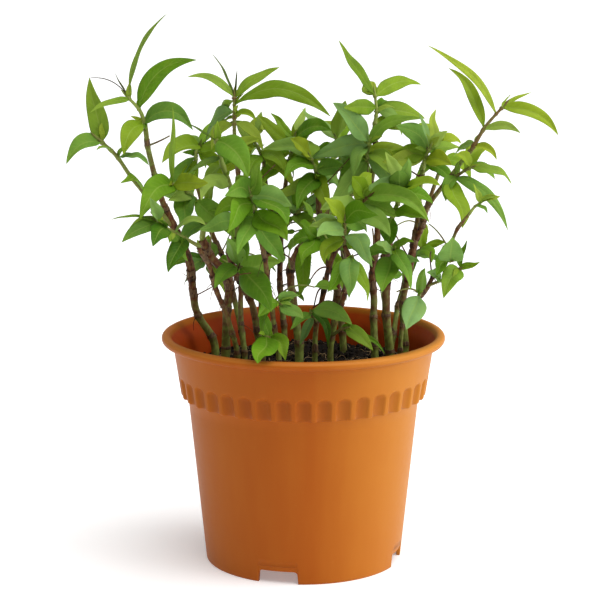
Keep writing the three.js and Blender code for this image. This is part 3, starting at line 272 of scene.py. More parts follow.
        (0.7, (-22, -41, 225), 10.3, 2, 45), (0.8, (-1, -71, 204), 12, 5.5, 55),
        (0.12, (-12, -67, 182), 12, 0.5, 55), (0.5, (-47, -65, 207), 12, 4, 55),
        (0.3, (-19, -63, 199), 10, 1.5, 50)]),
    ("sprig_27", 1, 0.7, [(-17, -50, 159), (-15, -58, 160), (-13, -63, 160)], [
        (1, (-24, -76, 155), 8, 3, 60), (1, (0, -73, 154), 7, 0.5, 50), (0.5, (-22, -61, 141), 5, 3, 50),
        (0.8, (-2, -59, 163), 7, 1, 50)]),
    ("sprig_28", 1, 0.7, [(-14, -41, 132), (-17, -53, 138), (-20, -63, 142)], [
        (1, (-24, -90, 132), 13, 1, 70), (0.7, (-10, -67, 129), 9, 4, 50), (0.6, (-22, -60, 155), 8, 0, 50)]),
    ("sprig_29", 1, 0.7, [(7, -24, 142), (5, -33, 147), (4, -40, 151)], [
        (1, (26, -61, 148), 10, 4, 55), (0.8, (-7, -57, 144), 6, 1, 60), (0.9, (14, -42, 132), 5, 4, 50),
        (0.4, (-2, -42, 132), 5, 0.5, 50)]),
    ("sprig_30", 1, 0.7, [(22, -50, 190), (22, -52, 197), (22, -55, 203)], [
        (1, (11, -65, 218), 10.3, 0.5, 50), (1, (39, -72, 210), 11.5, 4, 55),
        (0.6, (7, -75, 197), 10.3, 2, 55), (0.3, (36, -79, 182), 10.3, 5.5, 55),
        (0.4, (26, -29, 208), 10.3, 0.5, 45), (0.8, (44, -51, 194), 11, 4, 55),
        (0.5, (3, -53, 200), 9, 1.5, 50), (0.15, (11, -55, 180), 9, 5, 55),
        (0.3, (38, -49, 180), 5, 0.5, 50)]),
    ("sprig_31", 1, 0.7, [(25, -51, 177), (26, -58, 182), (26, -63, 185)], [
        (1, (24, -80, 166), 11, 4, 70), (0.7, (12, -73, 169), 8, 0.5, 60), (0.5, (33, -61, 160), 8, 3, 50)]),
    ("sprig_32", 1, 0.7, [(16, -37, 137), (20, -46, 142), (23, -51, 144)], [
        (1, (37, -64, 134), 8, 2, 55), (0.6, (31, -71, 130), 4, 4, 50)]),
    ("sprig_33", 1.2, 0.8, [(-63, 62, 219), (-62, 54, 226), (-60, 50, 231)], [
        (1, (-80, 29, 221), 14, 4, 50), (1, (-48, 66, 245), 7, 1, 40), (0.7, (-41, 36, 224), 9.2, 5, 40),
        (0.3, (-81, 62, 199), 10.3, 0.5, 40), (0.5, (-58, 84, 213), 10.3, 4, 45),
        (0.9, (-73, 58, 231), 9, 1.5, 50), (0.5, (-48, 50, 207), 10, 5, 55),
        (0.15, (-70, 54, 194), 10, 0.5, 55)]),
    ("sprig_34", 1.2, 0.8, [(-13, 56, 179), (-6, 50, 188), (0, 45, 195)], [
        (1, (15, 31, 206), 11.5, 0.5, 45), (1, (-4, 57, 210), 10.3, 1.5, 40),
        (0.6, (8, 31, 178), 11.5, 2, 45), (0.3, (-24, 61, 189), 10.3, 5, 45),
        (0.6, (-4, 75, 197), 10.3, 0.5, 45), (0.8, (25, 49, 189), 11, 4, 55), (0.5, (15, 45, 172), 10, 2, 55),
        (0.2, (-21, 49, 174), 11, 5, 55), (0.9, (-16, 47, 203), 9, 0.5, 50)]),
    ("sprig_35", 1.1, 0.8, [(-47, 63, 158), (-54, 53, 161), (-58, 45, 163)], [
        (1, (-68, 28, 155), 9.2, 4, 45), (1, (-53, 65, 175), 9.2, 0.5, 40), (0.6, (-45, 31, 145), 9.2, 3, 50),
        (0.5, (-55, 15, 181), 10.3, 2, 45), (0.9, (-78, 47, 158), 9, 4, 50),
        (0.3, (-38, 51, 162), 9, 0.5, 50), (0.7, (-63, 53, 174), 8, 2, 50)]),
    ("sprig_36", 1.1, 0.8, [(63, 57, 163), (66, 47, 168), (69, 39, 172)], [
        (1, (82, 29, 177), 7, 1.5, 40), (1, (71, 55, 185), 7, 2, 40), (0.5, (58, 39, 151), 8, 0.5, 45),
        (0.7, (73, 13, 169), 9, 4, 45), (0.3, (81, 43, 162), 7, 1, 50)]),
]


def linear(colour: str) -> tuple[float, float, float, float]:
    """Turns an sRGB hex colour to linear light.

    Args:
        colour: Six hex digits after a hash.

    Returns:
        Red, green, blue and an alpha of one.
    """
    parts = [int(colour[i : i + 2], 16) / 255 for i in (1, 3, 5)]
    low = [c / 12.92 if c <= 0.04045 else ((c + 0.055) / 1.055) ** 2.4 for c in parts]
    return (low[0], low[1], low[2], 1.0)


def cells(size_mm: float) -> float:
    """Scale of a pattern whose cells have a real size in millimetres."""
    return 1 / (size_mm * MM)


class Batch:
    """A material in the making: its node tree and the object's own coordinates."""

    def __init__(self, name: str) -> None:
        """Starts with an empty tree.

        Args:
            name: The material's name.
        """
        self.material = bpy.data.materials.new(name)
        self.material.use_nodes = True
        self.tree = self.material.node_tree
        self.tree.nodes.clear()
        self.where = self.add("TexCoord").outputs["Object"]

    def add(self, kind: str, *values: Any, **named: Any) -> bpy.types.Node:
        """Adds one node with its settings and links.

        Args:
            kind: The node's type name after ShaderNode.
            values: What its inputs get, in their order. A node or socket is linked, a hex colour is
                turned to linear light and anything else is set.
            named: Its settings, in small letters, and more inputs by name, with a capital and
                underscores for spaces. The stops of a ramp are pairs of place and hex colour.

        Returns:
            The new node.
        """
        made = self.tree.nodes.new(f"ShaderNode{kind}")
        stops = named.pop("stops", ())
        for name in filter(str.islower, named):
            setattr(made, name, named[name])
        sockets = [socket for socket in made.inputs if socket.enabled][: len(values)]
        sockets += [made.inputs[name.replace("_", " ")] for name in named if not name.islower()]
        given = [*values, *(value for name, value in named.items() if not name.islower())]
        for socket, value in zip(sockets, given):
            if isinstance(value, bpy.types.Node):
                value = next(out for out in value.outputs if out.enabled)
            if isinstance(value, bpy.types.NodeSocket):
                self.tree.links.new(value, socket)
            else:
                socket.default_value = linear(value) if isinstance(value, str) else value
        for _ in stops[2:]:
            made.color_ramp.elements.new(0.5)
        for i, (place, colour) in enumerate(stops):
            made.color_ramp.elements[i].position = place
            made.color_ramp.elements[i].color = linear(colour)
        return made


@dataclass(frozen=True)
class MouldedPolypropylene:
    """Injection-moulded polypropylene: an even satin skin with a faint orange peel and handling scuffs.

    Painted light and shade make its right side lighter and its left darker. Painted shade lies in the flutes,
    the creases and the inside, and a painted highlight runs along the rim.
    """

    name: str = "moulded_polypropylene"
    # the painted shaded left side, the plain colour and the painted lit right side
    shady: str = "#AE6114"
    base: str = "#A2510A"
    lit_side: str = "#BE7A26"
    deep: str = "#A14C08"
    # painted shade over the inner wall, deep red as of light bounced inside it
    inside: str = "#A23403"
    # painted shade for the flutes and the creases
    recess_shade: str = "#7E3604"
    # painted highlight along the rim's top
    rim_highlight: str = "#E09A4A"
    streaked: str = "#D08A2E"
    scuffed: str = "#CF9444"
    reach: float = 0.08
    roughness: float = 0.46
    ior: float = 1.49
    gloss: float = 0.12
    peel_mm: float = 0.9
    scuff_mm: float = 3.2
    streak_mm: float = 7.0
    cloud_mm: float = 34.0

    def material(self) -> bpy.types.Material:
        """Builds the material from the hue mark: painted shade inside, painted shade in the recesses and a
        painted highlight on the rim.

        Returns:
            The material.
        """
        made = Batch(self.name)
        where = made.where
        cloud = made.add("TexNoise", where, Scale=cells(self.cloud_mm), Detail=2.0)
        upright = made.add("Mapping", where, Scale=(1.0, 1.0, 0.16))
        streak = made.add("TexNoise", upright, Scale=cells(self.streak_mm), Detail=4.0)
        scuff = made.add("TexNoise", where, Scale=cells(self.scuff_mm), Detail=6.0)
        # Painted light and shade: along the object's x, the right side is painted lighter and the left
        # darker.
        place = made.add("SeparateXYZ", where).outputs[0]
        lit_share = made.add("MapRange", place, -self.reach, self.reach)
        stops = ((0.05, self.shady), (0.3, self.base), (0.5, self.base), (0.85, self.lit_side))
        colour = made.add("ValToRGB", lit_share, stops=stops)
        mark = made.add("Attribute", attribute_name="hue").outputs["Vector"]
        inner_shade, recess_shade, rim_highlight = made.add("SeparateXYZ", mark).outputs
        # What guides each coat, where it starts and is full, how strong it gets and its colour.
        for share, start, end, most, paint in (
            (cloud, 0.0, 1.0, 0.3, self.deep),
            # painted shade and red bounce light over the inner wall
            (inner_shade, 0.0, 1.0, 0.9, self.inside),
            # painted shade in the flutes, the crease under the lip and the step
            (recess_shade, 0.0, 1.0, 0.4, self.recess_shade),
            # painted highlight along the rim's top
            (rim_highlight, 0.0, 1.0, 0.22, self.rim_highlight),
            (streak, 0.375, 1.0, 0.1, self.streaked),
            (scuff, 0.62, 1.245, 0.14, self.scuffed),
        ):
            part = made.add("MapRange", share, start, end, 0.0, most)
            colour = made.add("Mix", part, colour, paint, data_type="RGBA")
        rough = made.add("MapRange", scuff, 0.0, 1.0, self.roughness - 0.07, self.roughness + 0.07)
        peel = made.add("TexNoise", where, Scale=cells(self.peel_mm), Detail=2.0)
        bump = made.add("Bump", Strength=0.12, Distance=0.00012, Height=peel)
        skin = made.add("BsdfPrincipled", Base_Color=colour, Roughness=rough, IOR=self.ior,
                        Specular_IOR_Level=self.gloss, Normal=bump)
        made.add("OutputMaterial", skin)
        return made.material


@dataclass(frozen=True)
class MoistPeat:
    """Sieved peat, still moist: nearly black crumbs with brown fibres, matt with a few wet glints."""

    name: str = "moist_peat"
    wet: str = "#100A06"
    dry: str = "#2E2013"
    straw: str = "#6A5038"
    gloss: float = 0.15
    crumb_mm: float = 2.4
    fibre_mm: float = 0.7  # real ones are about 0.2 mm and wouldn't show

    def material(self) -> bpy.types.Material:
        """Builds the material.

        Returns:
            The material.
        """
        made = Batch(self.name)
        crumb = made.add("TexNoise", made.where, Scale=cells(self.crumb_mm), Detail=6.0)
        fibre = made.add("TexNoise", made.where, Scale=cells(self.fibre_mm), Detail=3.0)
        share = made.add("MapRange", crumb, 0.42, 0.8046)
        colour = made.add("Mix", share, self.wet, self.dry, data_type="RGBA")
        bits = made.add("MapRange", fibre, 0.66, 0.8029, 0.0, 0.5)
        colour = made.add("Mix", bits, colour, self.straw, data_type="RGBA")
        rough = made.add("MapRange", fibre, 0.0, 1.0, 0.55, 0.95)
        bump = made.add("Bump", Strength=0.8, Distance=0.0009, Height=fibre)
        skin = made.add("BsdfPrincipled", Base_Color=colour, Roughness=rough,
                        Specular_IOR_Level=self.gloss, Normal=bump)
        made.add("OutputMaterial", skin)
        return made.material


@dataclass(frozen=True)
class LivingBlade:
    """Living leaf blade: waxy satin skin, pale midrib and side veins, light glowing through it."""

    name: str = "living_leaf_blade"
    mature: str = "#3C6A12"
    middle: str = "#70A01C"
    fresh: str = "#AEBE30"
    glaucous: str = "#94BC74"
    light_patch: str = "#A4B83E"
    dark_patch: str = "#2E5716"
    vein: str = "#B6CE62"
    under: str = "#8AB04A"
    dry: str = "#3B2A20"
    lit: str = "#BCCB2C"
    roughness: float = 0.5
    ior: float = 1.43
    gloss: float = 0.2
    glow: float = 0.36
    vein_pairs: float = 11.0
    vein_slant: float = 0.16
    patch_mm: float = 9.0
    grain_mm: float = 0.8  # the real grain, about 0.1 mm, wouldn't show

    def material(self) -> bpy.types.Material:
        """Builds the material from the blade mark (across, along, upper side) and the tone mark.

        Returns:
            The material.
        """
        made = Batch(self.name)
        blade = made.add("Attribute", attribute_name="blade").outputs["Vector"]
        tone = made.add("Attribute", attribute_name="hue").outputs["Vector"]
        side, along, upper = made.add("SeparateXYZ", blade).outputs
        young, bloom, dryness = made.add("SeparateXYZ", tone).outputs
        cloud = made.add("TexNoise", made.where, Scale=cells(self.patch_mm), Detail=3.0)
        across = made.add("Math", side, operation="ABSOLUTE")
        rib = made.add("MapRange", across, 0.0, 1 / 11, 1.0, 0.0)
        slant = made.add("Math", across, -self.vein_slant, along, operation="MULTIPLY_ADD")
        turns = made.add("Math", slant, self.vein_pairs * 2 * math.pi, operation="MULTIPLY")
        wave = made.add("MapRange", made.add("Math", turns, operation="SINE"), -1.0, 1.0)
        vein = made.add("Math", wave, 9.0, operation="POWER")
        faint = made.add("MapRange", across, 0.0, 1.0, 0.38, 0.0)
        vein = made.add("Math", vein, faint, operation="MULTIPLY")
        lines = made.add("Math", rib, vein, operation="MAXIMUM")
        stops = ((0.0, self.mature), (0.45, self.middle), (1.0, self.fresh))
        colour = made.add("ValToRGB", young, stops=stops)
        # What guides each coat, where it starts and is full, how strong it gets and its colour.
        for share, start, end, most, paint in (
            (bloom, 0.0, 1.0, 1.0, self.glaucous),
            (cloud, 0.5, 1.0, 0.45, self.light_patch),
            (cloud, 0.5, 0.0, 0.55, self.dark_patch),
            (lines, 0.0, 1.0, 0.45, self.vein),
            (upper, 1.0, 0.0, 0.5, self.under),
            (dryness, 0.0, 1.0, 1.0, self.dry),
        ):
            part = made.add("MapRange", share, start, end, 0.0, most)
            colour = made.add("Mix", part, colour, paint, data_type="RGBA")
        grain = made.add("TexNoise", made.where, Scale=cells(self.grain_mm), Detail=2.0)
        grain = made.add("MapRange", grain, 0.0, 1.0, 0.0, 0.35)
        relief = made.add("Math", grain, lines, operation="SUBTRACT")
        bump = made.add("Bump", Strength=0.35, Distance=0.00035, Height=relief)
        rough = made.add("MapRange", cloud, 0.0, 1.0, self.roughness - 0.08, self.roughness + 0.08)
        skin = made.add("BsdfPrincipled", Base_Color=colour, Roughness=rough, IOR=self.ior,
                        Specular_IOR_Level=self.gloss, Normal=bump)
        through = made.add("BsdfTranslucent", made.add("Mix", 0.35, colour, self.lit, data_type="RGBA"))
        made.add("OutputMaterial", made.add("MixShader", self.glow, skin, through))
        return made.material


@dataclass(frozen=True)
class KnottyStem:
    """Ridged herb stem: green and juicy between the joints, brown and corky at them."""

    name: str = "knotty_stem"
    juicy: str = "#8FA04A"
    green: str = "#737C38"
    olive: str = "#6B5A30"
    red: str = "#5F3419"
    cork: str = "#24160D"
    ridge: str = "#A09454"
    roughness: float = 0.45
    ior: float = 1.45
    gloss: float = 0.25
    ridge_mm: float = 0.8  # real ridges are about 0.4 mm and wouldn't show
    patch_mm: float = 5.0

    def material(self) -> bpy.types.Material:
        """Builds the material from the bark mark on the mesh.

        Returns:
            The material.
        """
        made = Batch(self.name)
        bark = made.add("SeparateXYZ", made.add("Attribute", attribute_name="hue").outputs["Vector"])
        upright = made.add("Mapping", made.where, Scale=(1.0, 1.0, 0.14))
        ridge = made.add("TexNoise", upright, Scale=cells(self.ridge_mm), Detail=3.0)
        patch = made.add("TexNoise", made.where, Scale=cells(self.patch_mm), Detail=4.0)
        wood = made.add("Math", bark, made.add("MapRange", patch, 0.0, 1.0, -0.45, 0.45), operation="ADD")
        stops = ((0.0, self.juicy), (0.28, self.green), (0.5, self.olive), (0.72, self.red), (1.0, self.cork))
        colour = made.add("ValToRGB", wood, stops=stops)
        lines = made.add("MapRange", ridge, 0.52, 0.9367, 0.0, 0.28)
        colour = made.add("Mix", lines, colour, self.ridge, data_type="RGBA")
        rough = made.add("MapRange", patch, 0.0, 1.0, self.roughness, self.roughness + 0.3)
        bump = made.add("Bump", Strength=0.6, Distance=0.0004, Height=ridge)
        skin = made.add("BsdfPrincipled", Base_Color=colour, Roughness=rough, IOR=self.ior,
                        Specular_IOR_Level=self.gloss, Normal=bump)
        made.add("OutputMaterial", skin)
        return made.material


@dataclass(frozen=True)
class PaperySheath:
    """Dried leaf sheath: thin brown papery skin wrapped round a joint, torn at its top edge."""

    name: str = "papery_sheath"
    pale: str = "#9A7A4E"
    dark: str = "#4A3020"
    glow: float = 0.25
    roughness: float = 0.7
    fibre_mm: float = 0.7  # real ones are about 0.2 mm and wouldn't show

    def material(self) -> bpy.types.Material:
        """Builds the material.

        Returns:
            The material.
        """
        made = Batch(self.name)
        upright = made.add("Mapping", made.where, Scale=(1.0, 1.0, 0.12))
        fibre = made.add("TexNoise", upright, Scale=cells(self.fibre_mm), Detail=4.0)
        share = made.add("MapRange", fibre, 0.35, 0.7667)
        colour = made.add("Mix", share, self.dark, self.pale, data_type="RGBA")
        bump = made.add("Bump", Strength=0.7, Distance=0.0003, Height=fibre)
        skin = made.add("BsdfPrincipled", Base_Color=colour, Roughness=self.roughness, Normal=bump)
        through = made.add("BsdfTranslucent", colour)
        made.add("OutputMaterial", made.add("MixShader", self.glow, skin, through))
        return made.material


class Slot(Enum):
    """Material slots of the record."""

    POT = "pot_plastic"
    SOIL = "soil"
    STEM = "stem"
    LEAF = "leaf"


@dataclass
class Draft:
    """Rings of points gathered into one closed mesh, with a blade and a hue mark on every point."""

    points: list[np.ndarray] = field(default_factory=list)
    blades: list[np.ndarray] = field(default_factory=list)
    hues: list[np.ndarray] = field(default_factory=list)
    faces: list[tuple[int, ...]] = field(default_factory=list)
    skins: list[int] = field(default_factory=list)
    count: int = 0

    def _take(self, points: np.ndarray, blade: np.ndarray, hue: np.ndarray) -> int:
        """Stores points with their marks.

        Args:
            points: Points in mm.
            blade: Blade marks, one for all or one a point.
            hue: Hue marks, one for all or one a point.

        Returns:
            The first point's number.
        """
        first = self.count
        flat = points.reshape(-1, 3)
        self.points.append(flat)
        self.blades.append(np.broadcast_to(blade, points.shape).reshape(-1, 3))
        self.hues.append(np.broadcast_to(hue, points.shape).reshape(-1, 3))
        self.count += len(flat)
        return first

    @staticmethod
    def _inside_out(rings: np.ndarray, looped: bool) -> bool:
        """Finds whether the skin over the rings would face inwards.

        Args:
            rings: Points in mm, rows by columns by three.
            looped: True when the last row joins the first.

        Returns:
            True when it would.
        """
        centred = rings - rings.mean(axis=(0, 1))
        upper = np.roll(centred, -1, axis=0) if looped else centred[1:]
        lower = centred if looped else centred[:-1]
        a, b, c, d = lower, np.roll(lower, -1, axis=1), np.roll(upper, -1, axis=1), upper
        volume = (a * np.cross(b, c)).sum() + (a * np.cross(c, d)).sum()
        return bool(volume < 0)

    def loft(
        self, rings: np.ndarray, blade: Any = (0, 0, 0), hue: Any = (0, 0, 0), skin: int = 0,
        looped: bool = False,
    ) -> None:
        """Skins rings of points into a closed form.

        Args:
            rings: Points in mm, rows by columns by three; each row is a closed ring.
            blade: Blade marks, one for all or one a point.
            hue: Hue marks, one for all or one a point.
            skin: Material number of the faces.
            looped: True when the last row joins the first, False to cap both ends.
        """
        rows, columns, _ = rings.shape
        if self._inside_out(rings, looped):
            rings = rings[:, ::-1]
            blade, hue = (m[:, ::-1] if np.ndim(m) == 3 else m for m in (blade, hue))
        first = self._take(rings, np.asarray(blade, float), np.asarray(hue, float))
        number = first + np.arange(rows * columns).reshape(rows, columns)
        upper = np.roll(number, -1, axis=0) if looped else number[1:]
        lower = number if looped else number[:-1]
        ahead = np.roll(lower, -1, axis=1)
        over = np.roll(upper, -1, axis=1)
        quads = np.stack([lower, ahead, over, upper], axis=-1).reshape(-1, 4)
        self.faces.extend(map(tuple, quads.tolist()))
        self.skins.extend([skin] * len(quads))
        if looped:
            return
        for row, flip in ((0, True), (rows - 1, False)):
            centre = rings[row].mean(axis=0).reshape(1, 3)
            mark_b = np.broadcast_to(np.asarray(blade, float), rings.shape)[row, :1]
            mark_h = np.broadcast_to(np.asarray(hue, float), rings.shape)[row, :1]
            hub = self._take(centre, mark_b, mark_h)
            ring = number[row].tolist()
            for i, a in enumerate(ring):
                b = ring[(i + 1) % columns]
                self.faces.append((hub, b, a) if flip else (hub, a, b))
                self.skins.append(skin)

    def build(self, name: str, materials: list[bpy.types.Material], shift: np.ndarray) -> bpy.types.Object:
        """Makes the scene object.

        Args:
            name: The piece's name.
            materials: Its materials, in the order of the skin numbers.
            shift: What is added to every point, in mm.

        Returns:
            The new object, in metres.
        """
        data = bpy.data.meshes.new(name)
        points = (np.concatenate(self.points) + shift) * MM
        data.from_pydata(points.tolist(), [], self.faces)
        for mark, values in (("blade", self.blades), ("hue", self.hues)):
            layer = data.attributes.new(mark, "FLOAT_VECTOR", "POINT")
            layer.data.foreach_set("vector", np.concatenate(values).astype(np.float32).ravel())
        data.polygons.foreach_set("material_index", self.skins)
        data.polygons.foreach_set("use_smooth", [True] * len(self.faces))
        for material in materials:
            data.materials.append(material)
        data.validate()
        piece = bpy.data.objects.new(name, data)
        bpy.context.scene.collection.objects.link(piece)
        return piece


def curve_point(points: np.ndarray, t: np.ndarray | float) -> np.ndarray:
    """Points on the smooth curve through a list of points.

    Args:
        points: The curve's own points, one a row.
        t: Where on the curve, 0 at its foot and 1 at its top.

    Returns:
        One point for each value of t.
    """
    t = np.atleast_1d(np.asarray(t, float))
    spans = len(points) - 1
    place = np.clip(t, 0, 1) * spans
    start = np.minimum(place.astype(int), spans - 1)
    u = (place - start)[:, None]
    ends = np.vstack([2 * points[0] - points[1], points, 2 * points[-1] - points[-2]])
    p0, p1, p2, p3 = (ends[start + i] for i in range(4))
    v0, v1 = (p2 - p0) * 0.5, (p3 - p1) * 0.5
    return (2 * p1 - 2 * p2 + v0 + v1) * u**3 + (-3 * p1 + 3 * p2 - 2 * v0 - v1) * u**2 + v0 * u + p1


def unit(v: np.ndarray) -> np.ndarray:
    """Vectors scaled to length one."""
    return v / np.maximum(np.linalg.norm(v, axis=-1, keepdims=True), 1e-9)


@dataclass
class Rod:
    """A round rod: its path, the two directions across it and its radius, in mm."""

    path: np.ndarray
    across: np.ndarray
    other: np.ndarray
    radius: np.ndarray

    @classmethod
    def along(cls, path: np.ndarray, radius: np.ndarray) -> Rod:
        """Lays a rod along a path with as little twist as possible.

        Args:
            path: Points of the path.
            radius: One a path point.

        Returns:
            The rod.
        """
        tangent = unit(np.gradient(path, axis=0))
        seed = np.array([1.0, 0.0, 0.0]) if abs(tangent[0][0]) < 0.8 else np.array([0.0, 1.0, 0.0])
        across = np.zeros_like(path)
        for i, way in enumerate(tangent):
            seed = seed - way * seed.dot(way)
            seed = seed / np.linalg.norm(seed)
            across[i] = seed
        return cls(path, across, np.cross(tangent, across), radius)

    def at(self, part: int | slice) -> Rod:
        """The rod at one point or over a part of its path."""
        return Rod(self.path[part], self.across[part], self.other[part], self.radius[part])

    def out(self, turn: float) -> np.ndarray:
        """Direction out of the rod at an angle round it."""
        return self.across * math.cos(turn) + self.other * math.sin(turn)

    def rings(self, sides: int, radius: np.ndarray | None = None) -> np.ndarray:
        """Rings of points round the rod.

        Args:
            sides: Points in a ring.
            radius: One a path point or one a ring point, where it isn't the rod's own.

        Returns:
            Rows by sides by three.
        """
        radius = self.radius if radius is None else radius
        angle = np.linspace(0, 2 * np.pi, sides, endpoint=False)
        radius = np.broadcast_to(radius if radius.ndim == 2 else radius[:, None], (len(self.path), sides))
        spin = np.cos(angle)[:, None] * self.across[:, None] + np.sin(angle)[:, None] * self.other[:, None]
        return self.path[:, None] + spin * radius[..., None]


@dataclass
class Leaf:
    """One lance-shaped leaf on its short stalk.

    Sizes are in mm: base and tip are the ends of its midrib, width is its widest, arch is how far the
    middle rises over the straight line and roll turns its face to the front, in degrees.
    """

    base: np.ndarray
    tip: np.ndarray
    width: float
    arch: float
    roll: float
    seed: int
    tone: Tone
    ease: float = 1.0
    stations: int = 26
    lanes: int = 11
    thickness: float = 0.36

    # How far a leaf strays from the plain shape. Parts of its length: sideways swing, and lift of the tip.
    SWING, LIFT = (-0.11, 0.11), (-0.06, 0.09)
    # Degrees from base to tip, and all over.
    TWIST, LEAN = (-55, 55), (-16, 16)
    # Outline's slenderness, curl of the halves, number of waves in the edge and their size.
    TAPER, CURL, WAVES, WAVE_SIZE = (0.74, 1.14), (-0.15, 0.4), (1.2, 3.0), (0.4, 1.2)
    # Part of the length, and part of the width there.
    OUTLINE = (
        (0.0, 0.07), (0.03, 0.09), (0.06, 0.2), (0.11, 0.48), (0.18, 0.76), (0.27, 0.95), (0.37, 1.0),
        (0.48, 0.98), (0.6, 0.88), (0.71, 0.71), (0.81, 0.5), (0.89, 0.31), (0.95, 0.16), (1.0, 0.015),
    )

    def rib(self, s: np.ndarray, rise: np.ndarray, sweep: np.ndarray) -> np.ndarray:
        """Points of the midrib.

        Args:
            s: Parts of the length.
            rise: Direction in which the leaf arches.
            sweep: Sideways swing at the middle, in mm.

        Returns:
            One point for each part.
        """
        middle = (self.base + self.tip) / 2 + rise * 2 * self.arch
        s = s[:, None]
        line = (1 - s) ** 2 * self.base + 2 * s * (1 - s) * middle + s**2 * self.tip
        return line + sweep * np.sin(2 * np.pi * s * 0.9) * s * (1 - s) * 2

    def directions(self) -> tuple[np.ndarray, np.ndarray, np.ndarray]:
        """Finds how the leaf lies, as in the CAD leaf.

        Returns:
            Directions of the arch, across the leaf and of its face.
        """
        along = unit(self.tip - self.base)
        up, front = np.array([0.0, 0.0, 1.0]), np.array([0.0, -1.0, 0.0])
        rise, facing = up - along * up.dot(along), front - along * front.dot(along)
        rise = unit(facing if np.linalg.norm(rise) < 0.15 else rise)
        facing = rise if np.linalg.norm(facing) < 0.15 else unit(facing)
        share = self.roll / 90
        face = rise * (1 - share) + facing * share
        face = rise if np.linalg.norm(face) < 0.3 else unit(face)
        return rise, unit(np.cross(along, face)), face

    def draw(self, draft: Draft, skin: int) -> None:
        """Adds the leaf to a draft.

        Args:
            draft: The sprig's draft.
            skin: Material number of a leaf.
        """
        chance = np.random.default_rng(self.seed)
        length = float(np.linalg.norm(self.tip - self.base))
        rise, side, face = self.directions()
        stray = length * self.ease
        s = np.linspace(0, 1, self.stations) ** 0.92
        rib = self.rib(s, rise, side * (chance.uniform(*self.SWING) * stray))
        rib = rib + rise * (chance.uniform(*self.LIFT) * stray * s**3)[:, None]
        tangent = unit(np.gradient(rib, axis=0))
        normal = unit(face - tangent * (tangent @ face)[:, None])
        edge = np.cross(tangent, normal)
        twist = np.radians(chance.uniform(*self.TWIST) * self.ease) * (s - 0.2)[:, None]
        twist = twist + np.radians(chance.uniform(*self.LEAN) * self.ease)
        c, n = np.cos(twist), np.sin(twist)
        normal, edge = normal * c + edge * n, edge * c - normal * n
        outline = np.interp(s ** chance.uniform(*self.TAPER), *zip(*self.OUTLINE))
        half = np.maximum(self.width * outline / 2, 0.05)
        bunch = np.pi / 2 * 0.86
        lane = np.sin(np.linspace(-bunch, bunch, self.lanes)) / math.sin(bunch)
        lateral = half[:, None] * lane[None]
        fold = chance.uniform(0.1, 0.3 + 0.3 * self.ease)
        curl = chance.uniform(*self.CURL)
        height = fold * np.abs(lateral) - curl * lateral**2 / np.maximum(self.width / 2, 0.5)
        waves = chance.uniform(*self.WAVES)
        phase = chance.uniform(0, 2 * np.pi, 2)
        size = min(0.06 * self.width, 0.65) * chance.uniform(*self.WAVE_SIZE)
        for sign, start in zip((-1, 1), phase):
            lift = np.sin(2 * np.pi * waves * s + start)[:, None] * size * np.clip(lane * sign, 0, 1) ** 2
            height = height + lift * np.minimum(outline * 2, 1)[:, None]
        groove = 0.3 * np.exp(-((lateral / 0.7) ** 2))
        round_ = np.sqrt(np.clip(1 - lane**2, 0, 1))[None]
        solid = round_ * self.thickness / 2 * np.minimum(0.12 + outline * 4, 1)[:, None]
        stalk = 0.5 * np.exp(-((s / 0.06) ** 2))[:, None] * round_
        groove = groove * np.minimum(half / 2, 1)[:, None]
        top = height - groove + solid + stalk
        low = height - 1.5 * groove - solid - stalk
        flat = rib[:, None] + edge[:, None] * lateral[..., None]
        upper, lower = (flat + normal[:, None] * skin_height[..., None] for skin_height in (top, low))
        rings = np.concatenate([upper, lower[:, -2:0:-1]], axis=1)
        marks = np.zeros(rings.shape)
        marks[..., 0] = np.concatenate([lane, lane[-2:0:-1]])[None]
        marks[..., 1] = s[:, None]
        marks[:, : self.lanes, 2] = 1.0
        hue = np.zeros(rings.shape)
        hue[..., 0] = np.clip(self.tone[0] + 0.12 * (s[:, None] - 0.5), 0, 1)
        hue[..., 1:] = self.tone[1:]
        draft.loft(rings, marks, hue, skin)


